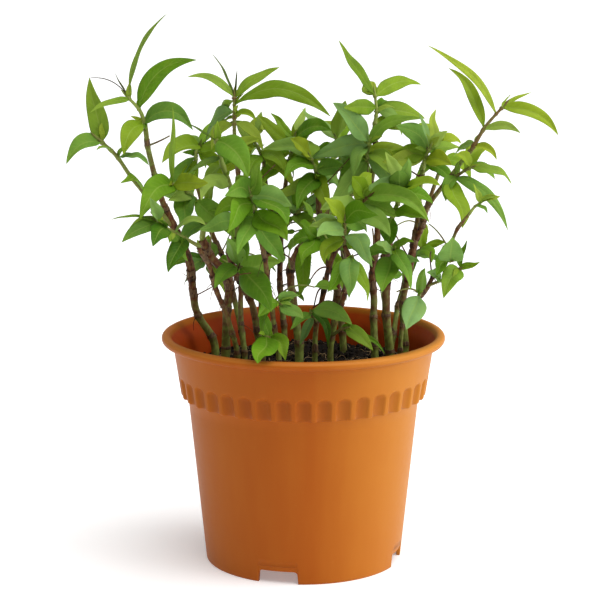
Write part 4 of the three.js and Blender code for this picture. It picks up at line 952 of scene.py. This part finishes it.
@dataclass
class Stem:
    """One upright stem with swollen joints, papery sheaths, dry rootlets and thin twigs. Sizes in mm."""

    name: str
    foot_radius: float
    top_radius: float
    points: np.ndarray
    seed: int
    branch: bool = False
    sides: int = 16
    step: float = 0.8
    joint_gap: tuple[float, float] = (12.0, 24.0)
    root_in: float = 1.6
    dressed_above: float = 116.0
    twigs_above: float = 138.0
    inner_zone: float = 30.0
    rootlet: tuple[float, float] = (2.0, 7.0)
    twig: tuple[float, float] = (10.0, 24.0)
    twig_leaf: tuple[float, float] = (7.0, 13.0)

    # Heights, and how brown and woody a stem is at each of them.
    BARK = ((112, 128, 146, 164, 190, 208, 232, 260), (0.2, 0.26, 0.5, 0.82, 0.72, 0.46, 0.28, 0.14))

    def __post_init__(self) -> None:
        """Starts the stem's draft and its seeded chance."""
        self.draft, self.chance = Draft(), np.random.default_rng(self.seed)

    def _path(self) -> tuple[np.ndarray, np.ndarray]:
        """Lays out the stem's path.

        Returns:
            Evenly spaced points along the stem, and how far along it each one is.
        """
        points = self.points
        if self.branch:
            start = points[0] - unit(points[1] - points[0]) * self.root_in
            points = np.vstack([start, points[1:]])
        dense = curve_point(points, np.linspace(0, 1, 400))
        reach = np.concatenate([[0], np.cumsum(np.linalg.norm(np.diff(dense, axis=0), axis=1))])
        at = np.linspace(0, reach[-1], int(reach[-1] / self.step))
        return np.stack([np.interp(at, reach, dense[:, i]) for i in range(3)], axis=1), at

    def _lumps(self, at: np.ndarray, turn: float, rise: float, seed: float) -> np.ndarray:
        """Uneven bark, one height a ring point.

        Args:
            at: How far along the stem each ring is.
            turn: How fast it changes from side to side.
            rise: How fast it changes along the stem.
            seed: Which of the patterns.

        Returns:
            Rings by sides.
        """
        spin = np.arange(self.sides)
        return np.array([[noise.noise(Vector((a * turn, z * rise, seed))) for a in spin] for z in at])

    def build(self, shift: np.ndarray, finishes: Finishes) -> bpy.types.Object:
        """Builds and dresses the stem.

        Args:
            shift: The pot's axis, in mm.
            finishes: The shared materials.

        Returns:
            The finished piece.
        """
        chance = self.chance
        path, at = self._path()
        joints = []
        place = (4.0 if self.branch else 16.0) + chance.uniform(0, 10)
        while place < at[-1] - 3:
            joints.append(place)
            place += chance.uniform(*self.joint_gap)
        rod = Rod.along(path, self.foot_radius + (self.top_radius - self.foot_radius) * at / at[-1])
        bends = [(-1) ** i * chance.uniform(0.2, 0.8) for i in range(len(joints))]
        rod.path = path + rod.across * np.interp(at, [0, *joints, at[-1]], [0, *bends, 0])[:, None]
        swell = np.zeros(len(at))
        for joint in joints:
            swell += chance.uniform(0.5, 1.3) * np.exp(-(((at - joint) / chance.uniform(1.1, 2.2)) ** 2))
        age = np.interp(rod.path[:, 2], *self.BARK) + chance.uniform(-0.12, 0.08)
        corky = np.clip(age - 0.45, 0, 0.4)
        grain = self._lumps(at, 1.3, 0.2, self.seed)
        lumps = self._lumps(at, 0.5, 0.45, self.seed + 40)
        rod.radius = rod.radius * (1 + 0.24 * swell) * (1 + 0.35 * corky)
        shape = rod.radius[:, None] * (1 + 0.07 * grain + corky[:, None] * (0.5 * grain + 0.75 * lumps))
        hue = np.zeros((*shape.shape, 3))
        hue[..., 0] = np.clip(age[:, None] + 0.22 * np.clip(swell, 0, 1)[:, None] + 0.3 * lumps, 0, 1)
        self.draft.loft(rod.rings(self.sides, shape), hue=hue)
        for joint in joints:
            i = int(np.searchsorted(at, joint))
            if rod.path[i, 2] > self.dressed_above:
                self._sheath(rod, i, float(corky[i]))
                self._rootlets(rod.at(i), float(corky[i]))
            if rod.path[i, 2] > self.twigs_above and not self.branch:
                self._twigs(rod.at(i), float(corky[i]))
        return self.draft.build(f"{self.name}_bark", [finishes.stem, finishes.sheath, finishes.leaf], shift)

    def _sheath(self, rod: Rod, start: int, corky: float) -> None:
        """Wraps one torn papery sheath round the stem above a joint.

        Args:
            rod: The stem.
            start: Number of the path's point at the joint.
            corky: How woody the stem is there.
        """
        chance = self.chance
        rows = min(int((3 + 16 * corky + chance.uniform(0, 4)) / self.step), len(rod.path) - 1 - start)
        if rows < 3:
            return
        part = rod.at(slice(start, start + rows))
        flare = 0.1 + (0.1 + corky * chance.uniform(0.2, 2.4)) * np.linspace(0, 1, rows) ** 2
        tear = chance.uniform(0.3, 1.0, self.sides)
        tear = ((tear + np.roll(tear, 1) + np.roll(tear, -1)) / 3)[None, :, None]
        walls = []
        for skin in (0.0, 0.22):
            rings = part.rings(self.sides, part.radius + flare - skin)
            walls.append(rings[:1] + (rings - rings[:1]) * tear)
        self.draft.loft(np.concatenate([walls[0], walls[1][::-1]]), skin=1, looped=True)

    def _rootlets(self, joint: Rod, corky: float) -> None:
        """Adds dry rootlets that stick out from a woody joint.

        Args:
            joint: The stem at the joint.
            corky: How woody it is there.
        """
        chance, part = self.chance, np.linspace(0, 1, 7)[:, None]
        for _ in range(int(chance.integers(0, 2) + 9 * corky)):
            out = joint.out(chance.uniform(0, 2 * np.pi))
            size = chance.uniform(*self.rootlet)
            drop = np.array([chance.uniform(-0.5, 0.5), 0, chance.uniform(-1.3, 0.3)]) * size
            line = joint.path + out * (joint.radius * 0.6 + part * size) + drop * part**2
            root = Rod.along(line, np.linspace(0.28, 0.1, 7))
            self.draft.loft(root.rings(5), hue=(chance.uniform(0.5, 1), 0, 0))

    def _twigs(self, joint: Rod, corky: float) -> None:
        """Adds spent leaf stalks and thin side twigs that cross between the stems.

        Args:
            joint: The stem at the joint.
            corky: How woody it is there.
        """
        chance, part = self.chance, np.linspace(0, 1, 12)[:, None]
        for _ in range(int(chance.integers(0, 2) + 2.2 * corky + 0.3)):
            out = joint.out(chance.uniform(0, 2 * np.pi))
            if np.linalg.norm(joint.path[:2]) > self.inner_zone and out[:2] @ joint.path[:2] > 0:
                out = -out
            size = chance.uniform(*self.twig)
            lift = chance.uniform((-0.4, -0.3, 0.2), (0.4, 0.3, 1.5))
            sag = chance.uniform((-0.3, -0.3, -1.3), (0.3, 0.3, 0.2))
            bow = (lift * part + sag * part**2) * size
            line = joint.path + out * (joint.radius * 0.5 + part * size) + bow
            twig = Rod.along(line, np.linspace(0.5, 0.34, 12) * chance.uniform(0.8, 1.25))
            self.draft.loft(twig.rings(7), hue=(chance.uniform(0.15, 0.95), 0, 0))
            if chance.uniform() < 0.4:
                way = unit(line[-1] - line[-3] + chance.uniform(-0.6, 0.6, 3))
                length = chance.uniform(*self.twig_leaf)
                tone = (chance.uniform(0.2, 0.6), chance.uniform(0, 0.4), 0.0)
                width, roll = length * chance.uniform(0.3, 0.5), chance.uniform(15, 75)
                seed = int(chance.integers(1, SEEDS))
                tip = line[-1] + way * length
                Leaf(line[-1], tip, width, length * 0.1, roll, seed, tone, 1.0, 14, 7).draw(self.draft, 2)


@dataclass
class Sprig:
    """One green side shoot with its leaves. Sizes in mm."""

    name: str
    foot_radius: float
    top_radius: float
    points: np.ndarray
    leaves: list[tuple[float, Point, float, float, float]]
    seed: int
    sides: int = 10
    root_in: float = 1.4
    budding: float = 0.6
    leaflet: tuple[float, float] = (5.5, 12.0)

    # Height and how brown the stalk is there, then height and how fresh a leaf is there.
    STALK_BARK = ((130, 175, 215, 250), (0.34, 0.3, 0.2, 0.1))
    FRESHNESS = ((120, 180, 230, 290), (0.28, 0.48, 0.7, 0.9))
    # How blue-grey a leaf may be, and how often.
    BLOOMS = ((0.0, 0.15, 0.4, 0.7), (0.48, 0.2, 0.2, 0.12))
    # The rolled bud beyond the stalk's end: distance, and part of the radius.
    BUD = ((0.8, 1.8, 3.0, 4.2, 5.2), (0.95, 0.85, 0.62, 0.36, 0.06))

    def __post_init__(self) -> None:
        """Starts the sprig's draft."""
        self.draft = Draft()

    def _stalk(self) -> None:
        """Adds the stalk: rooted in its stem, ringed at each leaf and ending in a rolled bud."""
        part = np.linspace(0, 1, 44)
        path = curve_point(self.points, part)
        foot = path[0] - unit(path[1] - path[0]) * np.linspace(self.root_in, 0.3, 3)[:, None]
        bud = path[-1] + unit(path[-1] - path[-3]) * np.array(self.BUD[0])[:, None]
        radius = self.foot_radius + (self.top_radius - self.foot_radius) * part
        for leaf in self.leaves:
            radius = radius + 0.32 * np.exp(-(((part - min(leaf[0], LAST_LEAF_AT)) / 0.025) ** 2))
        bud_radius = self.top_radius * np.array(self.BUD[1])
        radius = np.concatenate([np.full(3, radius[0] * 0.9), radius, bud_radius])
        rod = Rod.along(np.vstack([foot, path, bud]), radius)
        age = np.interp(rod.path[:, 2], *self.STALK_BARK) + RUDDY.get(self.name, 0.0)
        marks = np.zeros((len(radius), self.sides, 3))
        ringed = np.clip(radius / self.foot_radius - 1.0, 0, 0.5)
        marks[..., 0] = np.clip(age + 0.5 * ringed, 0, 1)[:, None]
        self.draft.loft(rod.rings(self.sides), hue=marks)

    def _leaflet(self, chance: Chance, leaf: Leaf) -> None:
        """Adds the young leaflet that grows in a leaf's axil.

        Args:
            chance: The leaf's seeded chance.
            leaf: The leaf.
        """
        stalk = unit(self.points[-1] - self.points[0])
        out = unit(leaf.tip - leaf.base)
        way = out * chance.uniform(0.2, 0.9) + stalk * chance.uniform(0.2, 0.9)
        way = unit(way + chance.uniform(-0.5, 0.5, 3))
        size = chance.uniform(*self.leaflet)
        tone = (min(1.0, leaf.tone[0] + 0.2), leaf.tone[1] * 0.5, 0.0)
        seed = int(chance.integers(1, SEEDS))
        width, roll = size * chance.uniform(0.26, 0.4), chance.uniform(15, 75)
        tip = leaf.base + way * size
        Leaf(leaf.base, tip, width, size * 0.1, roll, seed, tone, 1.0, 12, 7).draw(self.draft, 1)

    def turned_tip(self, base: np.ndarray, tip: np.ndarray, corners: np.ndarray) -> np.ndarray | None:
        """Finds how far the CAD leaf was turned to clear its neighbours.

        Args:
            base: Where the leaf starts, in mm.
            tip: Where its tip would be with no turn.
            corners: The CAD node's vertices, in mm about the pot's axis.

        Returns:
            The tip as it is in CAD, or None when that leaf was left out.
        """
        reach = tip - base
        for turn in LEAF_TURNS:
            c, s = math.cos(math.radians(turn)), math.sin(math.radians(turn))
            end = base + np.array([reach[0] * c - reach[1] * s, reach[0] * s + reach[1] * c, reach[2]])
            if np.min(np.linalg.norm(corners - end, axis=1)) < TIP_MATCH:
                return end
        return None

    def _tone(self, number: int, height: float, chance: Chance) -> tuple[Tone, float]:
        """Picks a leaf's tone.

        Args:
            number: The leaf's number on the sprig.
            height: How high its tip is.
            chance: The leaf's seeded chance.

        Returns:
            Its tone, and how far its shape may stray: less for a leaf that stands out.
        """
        fresh = float(np.interp(height, *self.FRESHNESS))
        fresh = float(np.clip(fresh + chance.uniform(-0.34, 0.28), 0, 1))
        bloom = float(chance.choice(self.BLOOMS[0], p=self.BLOOMS[1]))
        known = TONES.get(self.name, {}).get(number)
        return (known, 0.35) if known else ((fresh, bloom, 0.0), 1.0)

    def build(self, node: bpy.types.Object, shift: np.ndarray, finishes: Finishes) -> bpy.types.Object:
        """Builds and dresses the sprig.

        Args:
            node: The CAD node that it stands for.
            shift: The pot's axis, in mm.
            finishes: The shared materials.

        Returns:
            The finished piece.
        """
        corners = np.array([v.co for v in node.data.vertices]) / MM - shift
        self._stalk()
        lost = 0
        for i, (t, tip, width, arch, roll) in enumerate(self.leaves):
            base = curve_point(self.points, min(t, LAST_LEAF_AT))[0]
            end = self.turned_tip(base, np.array(tip, float), corners)
            if end is None:
                lost += 1
                continue
            chance = np.random.default_rng(self.seed * 31 + i)
            tone, ease = self._tone(i, end[2], chance)
            leaf = Leaf(base, end, width, arch, roll, self.seed * 97 + i, tone, ease)
            leaf.draw(self.draft, 1)
            if tone[2] < 0.3 and chance.uniform() < self.budding:
                self._leaflet(chance, leaf)
        log.info("%s: %d leaves, %d left out", self.name, len(self.leaves) - lost, lost)
        return self.draft.build(f"{self.name}_leaves", [finishes.stem, finishes.leaf], shift)


@dataclass
class Pot:
    """The moulded nursery pot. Sizes in mm."""

    height: float = 131.0
    rim_radius: float = 80.0
    rim_roll: float = 5.0
    foot_radius: float = 55.6
    wall: float = 2.1
    base_z: float = 7.6
    step_z: float = 95.5
    step_radius: float = 65.4
    band_radius: float = 69.1
    band_top_z: float = 108.5
    collar_radius: float = 73.8
    flutes: int = 40
    flute_width: float = 8.4
    flute_depth: float = 2.0
    arch: float = 3.6
    notches: int = 4
    notch_width: float = 23.0
    notch_height: float = 7.0
    notch_corner: float = 2.6
    notch_reach: float = 12.0
    # inset from the rim's edge and depth from its top of the painted highlight, in mm
    rim_highlight: tuple[float, float] = (3.0, 2.2)
    # strength of the painted shade in the crease under the lip and at the step
    crevice_shade: float = 0.7
    notch_turn: float = 15.0
    segments: int = 720

    def _collar(self, z: float) -> float:
        """Radius of the band and collar at a height."""
        part = (z - self.step_z) / (self.height - self.rim_roll - self.step_z)
        return self.band_radius + (self.collar_radius - self.band_radius) * part

    def _taper(self, z: float) -> float:
        """Radius of the lower wall at a height."""
        return self.foot_radius + (self.step_radius - self.foot_radius) * z / self.step_z

    def profile(self) -> list[tuple[float, float, bool]]:
        """Turned profile from the floor plate's underside, up the outside and down the inside.

        Returns:
            Radius, height and whether the point is fluted.
        """
        lip, top, step = self.height - self.rim_roll, self.band_top_z, self.step_z
        foot, rim, wall, base = self.foot_radius, self.rim_radius, self.wall, self.base_z
        floor = self._taper(base) - wall
        side = [(floor * part, base) for part in (0.02, 0.5, 0.97)]
        side += [(floor, base - 0.4), (foot - wall, 4.0), (foot - wall, 0.3)]
        side += [(foot - wall + 0.3, 0.0), (foot - 0.35, 0.0)]
        side += [(self._taper(z), z) for z in (0.35, 2.0, 4.0, 6.0, 8.0, 10.0, 14.0, 30.0, 50.0, 70.0, 88.0)]
        side += [(self.step_radius - 0.1, step - 0.6), (self.step_radius + 0.5, step)]
        band = [(self.band_radius - 0.6, step), (self.band_radius - 0.1, step + 0.35)]
        band += [(self._collar(z), z) for z in np.linspace(step + 1.0, top - self.arch - 0.5, 7)]
        band += [(self._collar(z), z) for z in np.linspace(top - self.arch, top + 0.2, 14)]
        upper = [(self._collar(z), z) for z in (top + 1.2, top + 4, top + 9, lip - 3.0, lip - 1.2)]
        upper += [(self._collar(lip) + out, lip - down) for out, down in ((0.35, 0.5), (1.4, 0.1))]
        upper += [(rim - 2.4, lip)]
        for turn in map(math.radians, range(-70, 91, 20)):
            upper.append((rim - 2.3 + 2.3 * math.cos(turn), lip + 2.35 + 2.35 * math.sin(turn)))
        insets = ((3.6, 0.1), (4.5, 0.7), (5.2, 2.0), (5.9, 4.0))
        upper += [(rim - inset, self.height - down) for inset, down in insets]
        upper += [(self._collar(z) - wall - 0.3, z) for z in (lip - 2.5, lip - 8, top, step + 4)]
        upper += [(self.band_radius - wall - 0.6, step + 1.2)]
        upper += [(self._taper(z) - wall, z) for z in (step - 2.5, 60.0, 20.0, base + 3.0)]
        upper += [((floor - 1.0) * part, base + wall) for part in (1.0, 0.5, 0.02)]
        return [(r, z, rows is band) for rows in (side, band, upper) for r, z in rows]

    def outer_rows(self) -> int:
        """Number of the profile's rows up to where the rim turns inwards."""
        return int(np.argmax([z for _, z, _ in self.profile()])) + 3

    def _flute(self, angle: np.ndarray, z: float) -> np.ndarray:
        """Depth of the flutes at a height.

        Args:
            angle: Angles about the axis, in radians.
            z: The height.

        Returns:
            One depth for each angle.
        """
        pitch = 2 * np.pi / self.flutes
        off = (angle + np.pi / 2 + pitch / 2) % pitch - pitch / 2
        x = np.abs(off) * self._collar(z) / (self.flute_width / 2)
        y = max(0.0, z - (self.band_top_z - self.arch)) / self.arch
        return self.flute_depth * np.clip(1 - x**2.3 - y**2.4, 0, 1) ** 0.72

    def _foot_lift(self, angle: np.ndarray) -> np.ndarray:
        """How far the foot's edge is raised by the notches.

        Args:
            angle: Angles about the axis, in radians.

        Returns:
            One height for each angle.
        """
        pitch = 2 * np.pi / self.notches
        start = -np.pi / 2 - math.radians(self.notch_turn)
        off = (angle - start + pitch / 2) % pitch - pitch / 2
        x = np.abs(off) * self.foot_radius
        half, round_ = self.notch_width / 2, self.notch_corner
        corner = np.clip((x - (half - round_)) / round_, 0, 1)
        lift = self.notch_height - round_ * (1 - np.sqrt(1 - corner**2))
        return np.where(x < half, lift, 0.0)

    def build(self, shift: np.ndarray, finishes: Finishes) -> bpy.types.Object:
        """Builds and dresses the pot.

        Args:
            shift: The pot's axis, in mm.
            finishes: The shared materials.

        Returns:
            The finished piece.
        """
        angle = np.linspace(0, 2 * np.pi, self.segments, endpoint=False)
        lift = self._foot_lift(angle)
        reach = self.notch_reach
        rings, marks = [], []
        for r, z, fluted in self.profile():
            radius, mark = np.full_like(angle, r), np.zeros((self.segments, 3))
            # the rim's top gets the mark for the painted highlight
            mark[:, 2] = float(r > self.rim_radius - self.rim_highlight[0] and z > self.height - self.rim_highlight[1])
            # painted shade in the crease under the rim's lip and at the step
            crevice = abs(z - self.height + self.rim_roll) < 1.3 or abs(z - self.step_z) < 0.3
            mark[:, 1] = self.crevice_shade * crevice
            if fluted:
                radius = radius - self._flute(angle, z)
                # the deeper the flute, the more painted shade
                mark[:, 1] = self._flute(angle, z) / self.flute_depth
            marks.append(mark)
            height = np.full_like(angle, z)
            if r > self.foot_radius - self.wall - 2.0 and z < min(reach, self.base_z + self.wall - 0.5):
                height = lift + z * (reach - lift) / reach
            rings.append(np.stack([radius * np.cos(angle), radius * np.sin(angle), height], axis=1))
        hue = np.array(marks)
        # The inside's rows get the mark for the painted shade of the inner wall.
        hue[self.outer_rows() :, :] = (1.0, 0.0, 0.0)
        draft = Draft()
        draft.loft(np.array(rings), hue=hue)
        return draft.build("pot_moulding", [finishes.pot], shift)


@dataclass
class Soil:
    """The peat in the pot: a lumpy surface with loose crumbs and root hairs on it. Sizes in mm."""

    level: float = 112.5
    radius: float = 69.0
    floor: float = 10.2
    floor_radius: float = 54.0
    shoulder: tuple[float, float] = (62.0, 90.0)
    clearance: float = 2.2
    crumbs: int = 1500
    fibres: int = 170
    seed: int = 11

    def __post_init__(self) -> None:
        """Starts the soil's draft and its seeded chance."""
        self.draft, self.chance = Draft(), np.random.default_rng(self.seed)

    def height(self, x: float, y: float) -> float:
        """Height of the surface at a point.

        Args:
            x: Distance to the right of the axis.
            y: Distance behind the axis.

        Returns:
            The height over the ground.
        """
        broad = 1.6 * math.sin(x / 9 + 1.2) * math.cos(y / 8 - 0.5) - 0.0004 * (x * x + y * y)
        fine = noise.fractal(Vector((x / 4, y / 4, 3.0)), 0.8, 2.1, 5) * 1.9
        return self.level + broad + fine

    def build(self, shift: np.ndarray, finishes: Finishes) -> bpy.types.Object:
        """Builds and dresses the soil.

        Args:
            shift: The pot's axis, in mm.
            finishes: The shared materials.

        Returns:
            The finished piece.
        """
        angle = np.linspace(0, 2 * np.pi, 180, endpoint=False)
        rings = []
        bottom = [(self.floor_radius * 0.02, self.floor), (self.floor_radius - 1, self.floor)]
        for r, z in (*bottom, self.shoulder):
            rings.append(np.stack([r * np.cos(angle), r * np.sin(angle), np.full_like(angle, z)], axis=1))
        for part in np.linspace(1, 0.01, 64) ** 0.8:
            r = (self.radius - self.clearance) * part
            x, y = r * np.cos(angle), r * np.sin(angle)
            z = np.array([self.height(a, b) for a, b in zip(x, y)])
            rings.append(np.stack([x, y, z], axis=1))
        self.draft.loft(np.array(rings))
        for _ in range(self.crumbs):
            self._crumb()
        for _ in range(self.fibres):
            self._fibre()
        return self.draft.build("peat_fill", [finishes.soil, finishes.fibre], shift)

    def _spot(self, inset: float) -> tuple[float, float]:
        """Picks a place on the surface.

        Args:
            inset: How far it keeps from the edge.

        Returns:
            Its x and y.
        """
        r = (self.radius - inset) * math.sqrt(self.chance.uniform())
        turn = self.chance.uniform(0, 2 * np.pi)
        return r * math.cos(turn), r * math.sin(turn)

    def _crumb(self) -> None:
        """Adds one loose crumb of peat on the surface."""
        chance = self.chance
        x, y = self._spot(4.5)
        size = 0.35 + 2.3 * chance.uniform() ** 3
        squash = chance.uniform(0.45, 1.0, 3) * size
        rows, sides = 5, 7
        lat = np.linspace(-np.pi / 2 * 0.92, np.pi / 2 * 0.92, rows)[:, None]
        lon = np.linspace(0, 2 * np.pi, sides, endpoint=False)[None] + chance.uniform(0, 1)
        bump = 1 + chance.uniform(-0.35, 0.35, (rows, sides))
        flat = np.cos(lat) * bump
        ball = np.stack([flat * np.cos(lon), flat * np.sin(lon), np.sin(lat) * np.ones_like(bump)], axis=2)
        centre = np.array([x, y, self.height(x, y) + 0.25 * squash[2]])
        self.draft.loft(centre + ball * squash)

    def _fibre(self) -> None:
        """Adds one pale root hair or straw fibre that lies on the peat."""
        chance = self.chance
        x, y = self._spot(14)
        turn, size = chance.uniform(0, 2 * np.pi), chance.uniform(4, 16)
        bend = chance.uniform(-1.4, 1.4)
        line = []
        for k in range(9):
            heading = turn + bend * k / 8
            x, y = x + math.cos(heading) * size / 8, y + math.sin(heading) * size / 8
            line.append([x, y, self.height(x, y) + 0.5 + 1.6 * math.sin(k / 8 * np.pi) * abs(bend)])
        thick = chance.uniform(0.12, 0.34)
        self.draft.loft(Rod.along(np.array(line), np.linspace(thick, thick * 0.4, 9)).rings(5), skin=1)


@dataclass
class Finishes:
    """The shared materials, each built once."""

    pot: bpy.types.Material
    soil: bpy.types.Material
    leaf: bpy.types.Material
    stem: bpy.types.Material
    sheath: bpy.types.Material
    fibre: bpy.types.Material

    @classmethod
    def make(cls) -> Finishes:
        """Builds every finish.

        Returns:
            The shared materials.
        """
        return cls(
            pot=MouldedPolypropylene().material(),
            soil=MoistPeat().material(),
            leaf=LivingBlade().material(),
            stem=KnottyStem().material(),
            sheath=PaperySheath().material(),
            fibre=PaperySheath("dry_root_fibre", "#B79A6E", "#7A5E3E", 0.1).material(),
        )


@dataclass
class Studio:
    """Pale floor, soft lights and the camera. Sizes in metres and degrees."""

    distance: float = 1.2
    eye_height: float = 0.389
    pitch: float = 11.3
    offset: float = -0.0019
    lens: float = 130.3
    floor_half: float = 14.0
    floor_glow: float = 0.26
    room: float = 0.32

    def _lamp(self, name: str, kind: str, place: Vector, aim: Vector, **settings: float) -> None:
        """Adds one lamp.

        Args:
            name: The lamp's name.
            kind: Its Blender type.
            place: Where it hangs.
            aim: What it points at.
            settings: Its power and its size or angle.
        """
        data = bpy.data.lights.new(name, kind)
        for key, value in settings.items():
            setattr(data, key, value)
        lamp = bpy.data.objects.new(name, data)
        lamp.location = place
        lamp.rotation_mode = "QUATERNION"
        lamp.rotation_quaternion = (aim - place).to_track_quat("-Z", "Y")
        bpy.context.scene.collection.objects.link(lamp)

    def _floor(self, axis: Vector) -> None:
        """Lays the pale floor.

        Args:
            axis: A point of the pot's axis on the ground.
        """
        data = bpy.data.meshes.new("pale_floor")
        h = self.floor_half
        data.from_pydata([(-h, -h, 0), (h, -h, 0), (h, h, 0), (-h, h, 0)], [], [(0, 1, 2, 3)])
        paper = Batch("pale_paper_floor")
        skin = paper.add("BsdfPrincipled", Base_Color="#F8F8F8", Roughness=0.9, Emission_Color="#FFFFFF",
                         Emission_Strength=self.floor_glow)
        paper.add("OutputMaterial", skin)
        data.materials.append(paper.material)
        floor = bpy.data.objects.new("pale_floor", data)
        floor.location = (axis.x, axis.y, 0)
        bpy.context.scene.collection.objects.link(floor)

    def build(self, axis: Vector) -> None:
        """Sets the camera, the floor and the lights about the pot.

        Args:
            axis: A point of the pot's axis on the ground.
        """
        scene = bpy.context.scene
        camera = bpy.data.objects.new("camera", bpy.data.cameras.new("camera"))
        camera.data.lens, camera.data.sensor_width, camera.data.clip_end = self.lens, 36.0, 60
        camera.location = (axis.x + self.offset, axis.y - self.distance, self.eye_height)
        camera.rotation_euler = (math.radians(90 - self.pitch), 0, 0)
        scene.collection.objects.link(camera)
        scene.camera = camera
        scene.view_settings.view_transform = "Standard"
        self._floor(axis)
        world = bpy.data.worlds.new("soft_white_room")
        scene.world = world
        world.use_nodes = True
        back = world.node_tree.nodes["Background"]
        back.inputs[0].default_value, back.inputs[1].default_value = (1, 1, 1, 1), self.room
        aim = Vector((axis.x, axis.y, 0.17))
        above, right = Vector((0.45, -0.3, 1.6)), Vector((1.5, -0.35, 0.3))
        self._lamp("overhead_softbox", "SUN", aim + above, aim, energy=2.6, angle=math.radians(60))
        self._lamp("key_right", "AREA", aim + right, aim, energy=17, size=1.3)


def hand_over(piece: bpy.types.Object, node: str) -> None:
    """Lets a piece ride and stand for its CAD node.

    Args:
        piece: The finished piece.
        node: The CAD node that it stands for.
    """
    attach(piece, BODY)
    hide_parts(node)
    log.info("%s stands for %s: %d faces", piece.name, node, len(piece.data.polygons))


def main() -> None:
    """Builds the pot, the soil, the stems and the sprigs."""
    logging.basicConfig(level=logging.INFO, format="%(name)s: %(message)s")
    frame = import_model()
    low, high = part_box("pot")
    axis = Vector(((low.x + high.x) / 2, (low.y + high.y) / 2, 0))
    shift = np.array(axis) / MM
    finishes = Finishes.make()
    Studio().build(axis)
    hand_over(Pot().build(shift, finishes), "pot")
    hand_over(Soil().build(shift, finishes), "soil")
    for seed, (name, foot, top, points) in enumerate(STEMS):
        stem = Stem(name, foot, top, np.array(points, float), seed, branch=name == "stem_10")
        hand_over(stem.build(shift, finishes), name)
    for seed, (name, foot, top, points, leaves) in enumerate(SPRIGS):
        sprig = Sprig(name, foot, top, np.array(points, float), leaves, seed)
        hand_over(sprig.build(frame["nodes"][name], shift, finishes), name)


if __name__ == "__main__":
    main()
